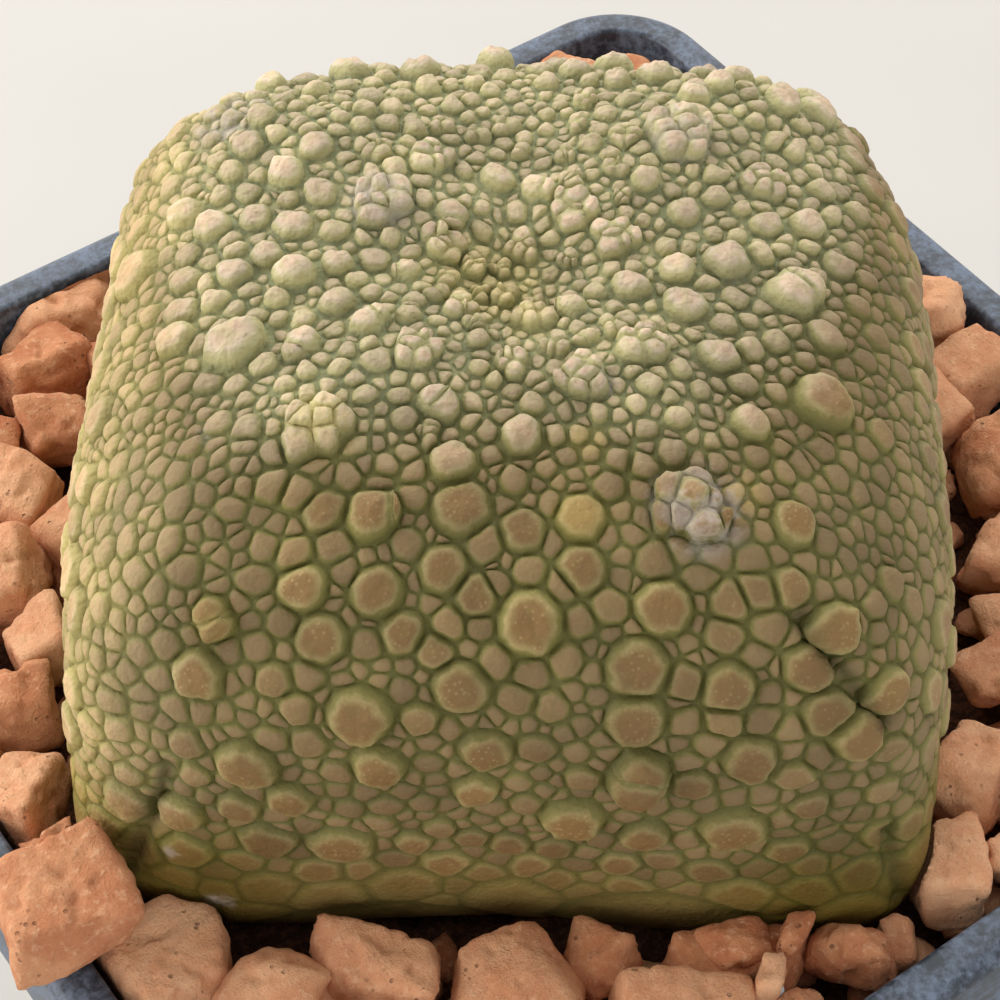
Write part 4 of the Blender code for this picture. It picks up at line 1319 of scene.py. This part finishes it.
class Nodes:
    """A material and short ways to add nodes to it."""

    def __init__(self, name):
        self.material = bpy.data.materials.new(name)
        self.material.use_nodes = True
        self.tree = self.material.node_tree
        self.shader = self.tree.nodes["Principled BSDF"]
        self.place = self.add("ShaderNodeTexCoord").outputs["Object"]

    def add(self, kind, **settings):
        node = self.tree.nodes.new(kind)
        for key, value in settings.items():
            setattr(node, key, value)
        return node

    def put(self, socket, value):
        if isinstance(value, bpy.types.NodeSocket):
            self.tree.links.new(value, socket)
        else:
            socket.default_value = value

    def attribute(self, name):
        return self.add("ShaderNodeAttribute", attribute_name=name).outputs["Fac"]

    def noise(self, size, detail=2.0, rough=0.5, stretch=None):
        """Noise with features of a size in metres."""
        node = self.add("ShaderNodeTexNoise")
        self.put(node.inputs["Vector"], self.stretched(stretch))
        self.put(node.inputs["Scale"], 1.0 / size)
        self.put(node.inputs["Detail"], detail)
        self.put(node.inputs["Roughness"], rough)
        return node.outputs["Fac"]

    def stretched(self, stretch):
        if stretch is None:
            return self.place
        node = self.add("ShaderNodeMapping")
        self.put(node.inputs["Vector"], self.place)
        self.put(node.inputs["Scale"], stretch)
        return node.outputs["Vector"]

    def cells(self, size):
        """Distances to scattered points that lie a size in metres apart."""
        node = self.add("ShaderNodeTexVoronoi")
        self.put(node.inputs["Vector"], self.place)
        self.put(node.inputs["Scale"], 1.0 / size)
        return node.outputs["Distance"]

    def axis(self, letter):
        node = self.add("ShaderNodeSeparateXYZ")
        self.put(node.inputs[0], self.place)
        return node.outputs[letter]

    def math(self, operation, a, b=0.0):
        node = self.add("ShaderNodeMath", operation=operation)
        self.put(node.inputs[0], a)
        self.put(node.inputs[1], b)
        return node.outputs[0]

    def times(self, *values):
        result = values[0]
        for value in values[1:]:
            result = self.math("MULTIPLY", result, value)
        return result

    def span(self, value, low, high, start=0.0, end=1.0):
        """Eases from start to end as the value goes from low to high."""
        node = self.add("ShaderNodeMapRange", interpolation_type="SMOOTHSTEP")
        for socket, number in zip(node.inputs, (value, low, high, start, end)):
            self.put(socket, number)
        return node.outputs[0]

    def mix(self, share, a, b, blend="MIX"):
        node = self.add("ShaderNodeMix", data_type="RGBA", blend_type=blend)
        self.put(node.inputs[0], share)
        self.put(node.inputs[6], (*a, 1.0) if isinstance(a, tuple) else a)
        self.put(node.inputs[7], (*b, 1.0) if isinstance(b, tuple) else b)
        return node.outputs[2]

    def bump(self, height, distance, strength=1.0, over=None):
        node = self.add("ShaderNodeBump")
        self.put(node.inputs["Height"], height)
        self.put(node.inputs["Distance"], distance)
        self.put(node.inputs["Strength"], strength)
        if over is not None:
            self.put(node.inputs["Normal"], over)
        return node.outputs["Normal"]

    def finish(self, colour, roughness, normal=None, **constants):
        self.put(self.shader.inputs["Base Color"], colour)
        self.put(self.shader.inputs["Roughness"], roughness)
        if normal is not None:
            self.put(self.shader.inputs["Normal"], normal)
        for key, value in constants.items():
            self.put(self.shader.inputs[key.replace("_", " ")], value)
        return self.material


def skin_material():
    n = Nodes("skin")
    top, disc, tone = n.attribute("top"), n.attribute("disc"), n.attribute("tone")
    size, crust, crease = n.attribute("size"), n.attribute("crust"), n.attribute("crease")
    height = n.axis("Z")
    # The skin is palest on the crown, more so towards the back and the left
    right, back = n.axis("X"), n.axis("Y")
    pale = n.math("ADD", height, n.math("SUBTRACT", n.times(back, 0.20), n.times(right, 0.04)))
    crown = n.span(pale, 0.77 * CROWN, 0.94 * CROWN)
    # Painted light: the flanks above the hem, the left one most, painted paler where side lamps fall on them
    above = n.span(height, -12.0 * MM, -3.0 * MM)
    left = n.times(n.span(right, -0.60 * HALF_WIDTH, -0.94 * HALF_WIDTH, 0.0, 0.72), above)
    flank = n.math("ADD", left, n.times(n.span(right, 17.5 * MM, 22.0 * MM, 0.0, 0.35), above))
    groove = n.mix(crown, (0.125, 0.118, 0.034), (0.265, 0.280, 0.150))
    groove = n.mix(flank, groove, (0.250, 0.235, 0.100))
    crown = n.math("MAXIMUM", crown, flank)
    hem = n.span(height, -1.0 * MM, -6.5 * MM)
    grain = n.noise(0.24 * MM, 2.0, 0.6)
    patches = n.noise(3.5 * MM, 2.0)
    knobs = n.cells(0.55 * MM)

    # The warts' sides, the rims and middles of their tops, and the small warts
    side = n.mix(crown, (0.185, 0.166, 0.052), (0.430, 0.400, 0.205))
    rim = n.mix(crown, (0.305, 0.245, 0.104), (0.620, 0.520, 0.400))
    middle = n.mix(crown, (0.220, 0.132, 0.052), (0.600, 0.445, 0.315))
    small = n.mix(crown, (0.230, 0.160, 0.078), (0.510, 0.415, 0.270))
    specks = n.span(n.cells(0.30 * MM), 0.16, 0.34, 1.0, 0.0)
    specks = n.times(specks, n.span(patches, 0.35, 0.60, 0.3, 1.0))
    inner = n.math("ADD", disc, n.times(n.noise(0.8 * MM, 3.0, 0.6), 0.5))
    face = n.mix(n.span(inner, 0.28, n.span(crown, 0.0, 1.0, 0.70, 1.00)), rim, middle)
    face = n.mix(n.times(specks, 0.50), face, n.mix(crown, (0.370, 0.275, 0.130), (0.640, 0.550, 0.410)))
    face = n.mix(n.span(size, 0.15, 0.55), small, face)
    colour = n.mix(n.span(top, 0.10, 0.50), groove, side)
    inward = n.math("ADD", disc, n.times(n.noise(0.5 * MM, 2.0), 0.30))
    inward = n.span(inward, 0.12, n.span(crown, 0.0, 1.0, 0.30, 0.52))
    colour = n.mix(n.times(n.span(top, 0.45, n.span(crown, 0.0, 1.0, 0.74, 0.90)), inward), colour, face)
    between = n.times(n.span(knobs, 0.42, 0.80, 0.0, 0.50), n.span(crown, 0.0, 1.0, 0.3, 1.0))
    colour = n.mix(between, colour, side)
    golden = n.mix(crown, (0.400, 0.290, 0.095), (0.540, 0.450, 0.190))
    golden = n.mix(n.span(top, 0.3, 0.9), n.mix(crown, (0.190, 0.160, 0.035), (0.310, 0.290, 0.110)), golden)
    colour = n.mix(n.times(n.attribute("golden"), 0.5), colour, golden)
    shade = n.span(tone, 0.0, 1.0, 0.86, 1.12)
    shade = n.math("MULTIPLY", shade, n.span(patches, 0.35, 0.65, 0.90, 1.10))
    colour = n.mix(1.0, colour, shade, "MULTIPLY")
    # Painted light: the lit flanks are also painted warmer and less blue
    colour = n.mix(flank, colour, (1.16, 1.02, 0.72), "MULTIPLY")
    hem_colour = n.mix(n.noise(0.9 * MM, 3.0), (0.186, 0.136, 0.038), (0.275, 0.200, 0.062))
    colour = n.mix(n.times(hem, n.span(top, 0.0, 0.5, 0.4, 0.85)), colour, hem_colour)
    corner = n.span(n.math("ABSOLUTE", right), 8.0 * MM, 15.0 * MM)
    corner = n.times(corner, n.span(height, 4.0 * MM, -3.0 * MM))
    colour = n.mix(corner, colour, (0.63, 0.62, 0.36), "MULTIPLY")
    # Painted shade: the creases are painted almost black, as the shade in them
    colour = n.mix(n.times(crease, 0.75), colour, (0.045, 0.050, 0.014))
    flakes = n.span(n.noise(1.1 * MM, 3.0, 0.6), 0.36, 0.60)
    colour = n.mix(n.times(crust, flakes, 0.70), colour, (0.520, 0.460, 0.420))

    rough = n.span(hem, 0.0, 1.0, 0.62, 0.48)
    lumps = n.times(n.noise(0.42 * MM, 1.0), n.span(crown, 0.0, 1.0, 0.35, 1.0))
    lumps = n.bump(lumps, 0.20 * MM, 1.0)
    normal = n.bump(grain, 0.070 * MM, 0.9, lumps)
    return n.finish(colour, rough, normal, Specular_IOR_Level=0.25)


def clay_material():
    n = Nodes("clay")
    tone, pale = n.attribute("tone"), n.attribute("pale")
    fine = n.noise(0.16 * MM, 3.0, 0.7)
    sand = n.noise(0.45 * MM, 3.0, 0.6)
    broad = n.noise(2.6 * MM, 3.0, 0.6)
    colour = n.mix(tone, (0.460, 0.160, 0.070), (0.780, 0.390, 0.215))
    lighter = n.mix(tone, (0.580, 0.250, 0.120), (0.840, 0.490, 0.290))
    colour = n.mix(n.span(broad, 0.35, 0.65), colour, lighter)
    colour = n.mix(n.span(sand, 0.50, 0.74, 0.0, 0.5), colour, (0.830, 0.520, 0.320))
    # Painted shade: small pits painted dark, as the shade inside them, and sunk by the bump
    shaded_pits = n.span(n.cells(0.55 * MM), 0.10, 0.24, 1.0, 0.0)
    shaded_pits = n.times(shaded_pits, n.span(n.noise(1.3 * MM), 0.54, 0.66))
    colour = n.mix(n.times(shaded_pits, 0.45), colour, (0.160, 0.060, 0.032))
    colour = n.mix(n.span(fine, 0.60, 0.78, 0.0, 0.35), colour, (0.800, 0.600, 0.440))
    colour = n.mix(n.span(fine, 0.44, 0.30, 0.0, 0.35), colour, (0.300, 0.100, 0.045))
    colour = n.mix(pale, colour, (0.600, 0.660, 0.720))
    height = n.math("SUBTRACT", n.math("ADD", n.times(sand, 0.6), n.times(fine, 0.5)), n.times(shaded_pits, 0.7))
    return n.finish(colour, 0.92, n.bump(height, 0.24 * MM, 1.0), Specular_IOR_Level=0.25)


def bed_shade_material():
    n = Nodes("bed_shade")
    sand = n.noise(0.5 * MM, 4.0, 0.7)
    # Painted shade: almost black, as the shade deep in the gaps between the stones
    colour = n.mix(n.span(sand, 0.40, 0.66), (0.050, 0.022, 0.013), (0.150, 0.062, 0.034))
    return n.finish(colour, 0.95, n.bump(sand, 0.3 * MM, 1.0), Specular_IOR_Level=0.2)


def plastic_material():
    n = Nodes("plastic")
    blotch = n.noise(2.4 * MM, 4.0, 0.65)
    frost = n.noise(0.5 * MM, 4.0, 0.7)
    height = n.axis("Z")
    collar = n.span(height, POT_HEIGHT - 1.4 * COLLAR_HEIGHT, POT_HEIGHT - 0.5 * COLLAR_HEIGHT)
    colour = n.mix(blotch, (0.018, 0.026, 0.040), (0.036, 0.050, 0.076))
    # Pale blue mottling on the collar: partly a real frosty bloom, partly a painted highlight of the bright
    # surroundings
    bloom_and_highlight = n.times(n.span(n.math("ADD", n.times(blotch, 0.45), n.times(frost, 0.55)), 0.40, 0.64), collar)
    colour = n.mix(n.times(bloom_and_highlight, 0.66), colour, (0.225, 0.288, 0.405))
    rough = n.span(bloom_and_highlight, 0.0, 1.0, 0.38, 0.62)
    normal = n.bump(frost, 0.03 * MM, 0.6)
    return n.finish(colour, rough, normal)


def soil_material():
    n = Nodes("soil")
    fibre = n.noise(0.9 * MM, 4.0, 0.7)
    bits = n.cells(1.8 * MM)
    colour = n.mix(n.span(fibre, 0.35, 0.65), (0.030, 0.018, 0.011), (0.105, 0.066, 0.040))
    colour = n.mix(n.span(bits, 0.16, 0.20, 0.5, 0.0), colour, (0.420, 0.390, 0.340))
    return n.finish(colour, 0.95, n.bump(fibre, 0.4 * MM, 1.0))


def bark_material():
    n = Nodes("bark")
    streaks = n.noise(1.0 * MM, 4.0, 0.6, stretch=(1.0, 1.0, 0.3))
    colour = n.mix(n.span(streaks, 0.35, 0.65), (0.150, 0.090, 0.045), (0.330, 0.230, 0.130))
    return n.finish(colour, 0.85, n.bump(streaks, 0.3 * MM, 1.0))


def floor_material():
    n = Nodes("floor")
    cloud = n.noise(40.0 * MM, 2.0)
    return n.finish(n.mix(cloud, (0.56, 0.55, 0.53), (0.60, 0.59, 0.57)), 0.8)


def make_camera():
    eye, right, up, forward = view_frame()
    data = bpy.data.cameras.new("camera")
    data.lens = LENS
    data.sensor_width = SENSOR
    data.clip_start = CLIP_START
    camera = linked("camera", data)
    axes = Matrix([right, up, -forward]).transposed().to_4x4()
    camera.matrix_world = Matrix.Translation(Vector(eye) + PLANT_CENTRE) @ axes
    bpy.context.scene.camera = camera


WARM = (1.0, 0.97, 0.92)
WARMER = (1.0, 0.96, 0.90)
WORLD_COLOUR = (1.0, 0.98, 0.95, 1.0)
WORLD_STRENGTH = 0.38
STAGE_SIZE = 6.0
STAGE_STEPS = 8
# (name, azimuth from the camera's side, elevation, distance, size, power, colour), angles in degrees
LIGHTS = (
    ("back", 175, 26, 0.60, 0.80, 2.2, WARM),
    ("back_left", -135, 26, 0.60, 0.70, 1.8, WARM),
    ("left", -88, 14, 0.60, 0.60, 3.8, WARMER),
    ("right", 80, 16, 0.60, 0.60, 0.75, WARMER),
    ("top", 165, 60, 0.60, 0.70, 1.7, WARM),
    ("front", 4, 8, 0.70, 0.70, 2.6, WARMER),
)


def add_area(name, azimuth, elevation, distance, size, power, colour):
    """A square light that looks at the plant."""
    c, s = math.cos(math.radians(elevation)), math.sin(math.radians(elevation))
    a = math.radians(azimuth)
    away = Matrix.Rotation(VIEW_TURN, 3, "Z") @ Vector((math.sin(a) * c, -math.cos(a) * c, s))
    data = bpy.data.lights.new(name, "AREA")
    data.shape = "SQUARE"
    data.size = size
    data.energy = power
    data.color = colour
    light = linked(name, data)
    light.location = PLANT_CENTRE + away * distance
    light.rotation_euler = away.to_track_quat("Z", "Y").to_euler()


def make_studio():
    scene = bpy.context.scene
    scene.view_settings.view_transform = "Standard"
    world = bpy.data.worlds.new("studio")
    scene.world = world
    world.use_nodes = True
    background = world.node_tree.nodes["Background"]
    background.inputs["Color"].default_value = WORLD_COLOUR
    background.inputs["Strength"].default_value = WORLD_STRENGTH
    for light in LIGHTS:
        add_area(*light)

    bpy.ops.mesh.primitive_grid_add(x_subdivisions=STAGE_STEPS, y_subdivisions=STAGE_STEPS, size=STAGE_SIZE)
    floor = bpy.context.object
    floor.name = "floor"
    floor.data.materials.append(floor_material())


def main():
    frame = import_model()
    make_camera()
    make_studio()
    make_skin(skin_material())
    make_root(bark_material())
    clay = clay_material()
    make_gravel(clay)
    make_bed(bed_shade_material())
    make_pot(plastic_material())
    soil = frame["nodes"]["substrate"]
    soil.data.materials.clear()
    soil.data.materials.append(soil_material())


main()
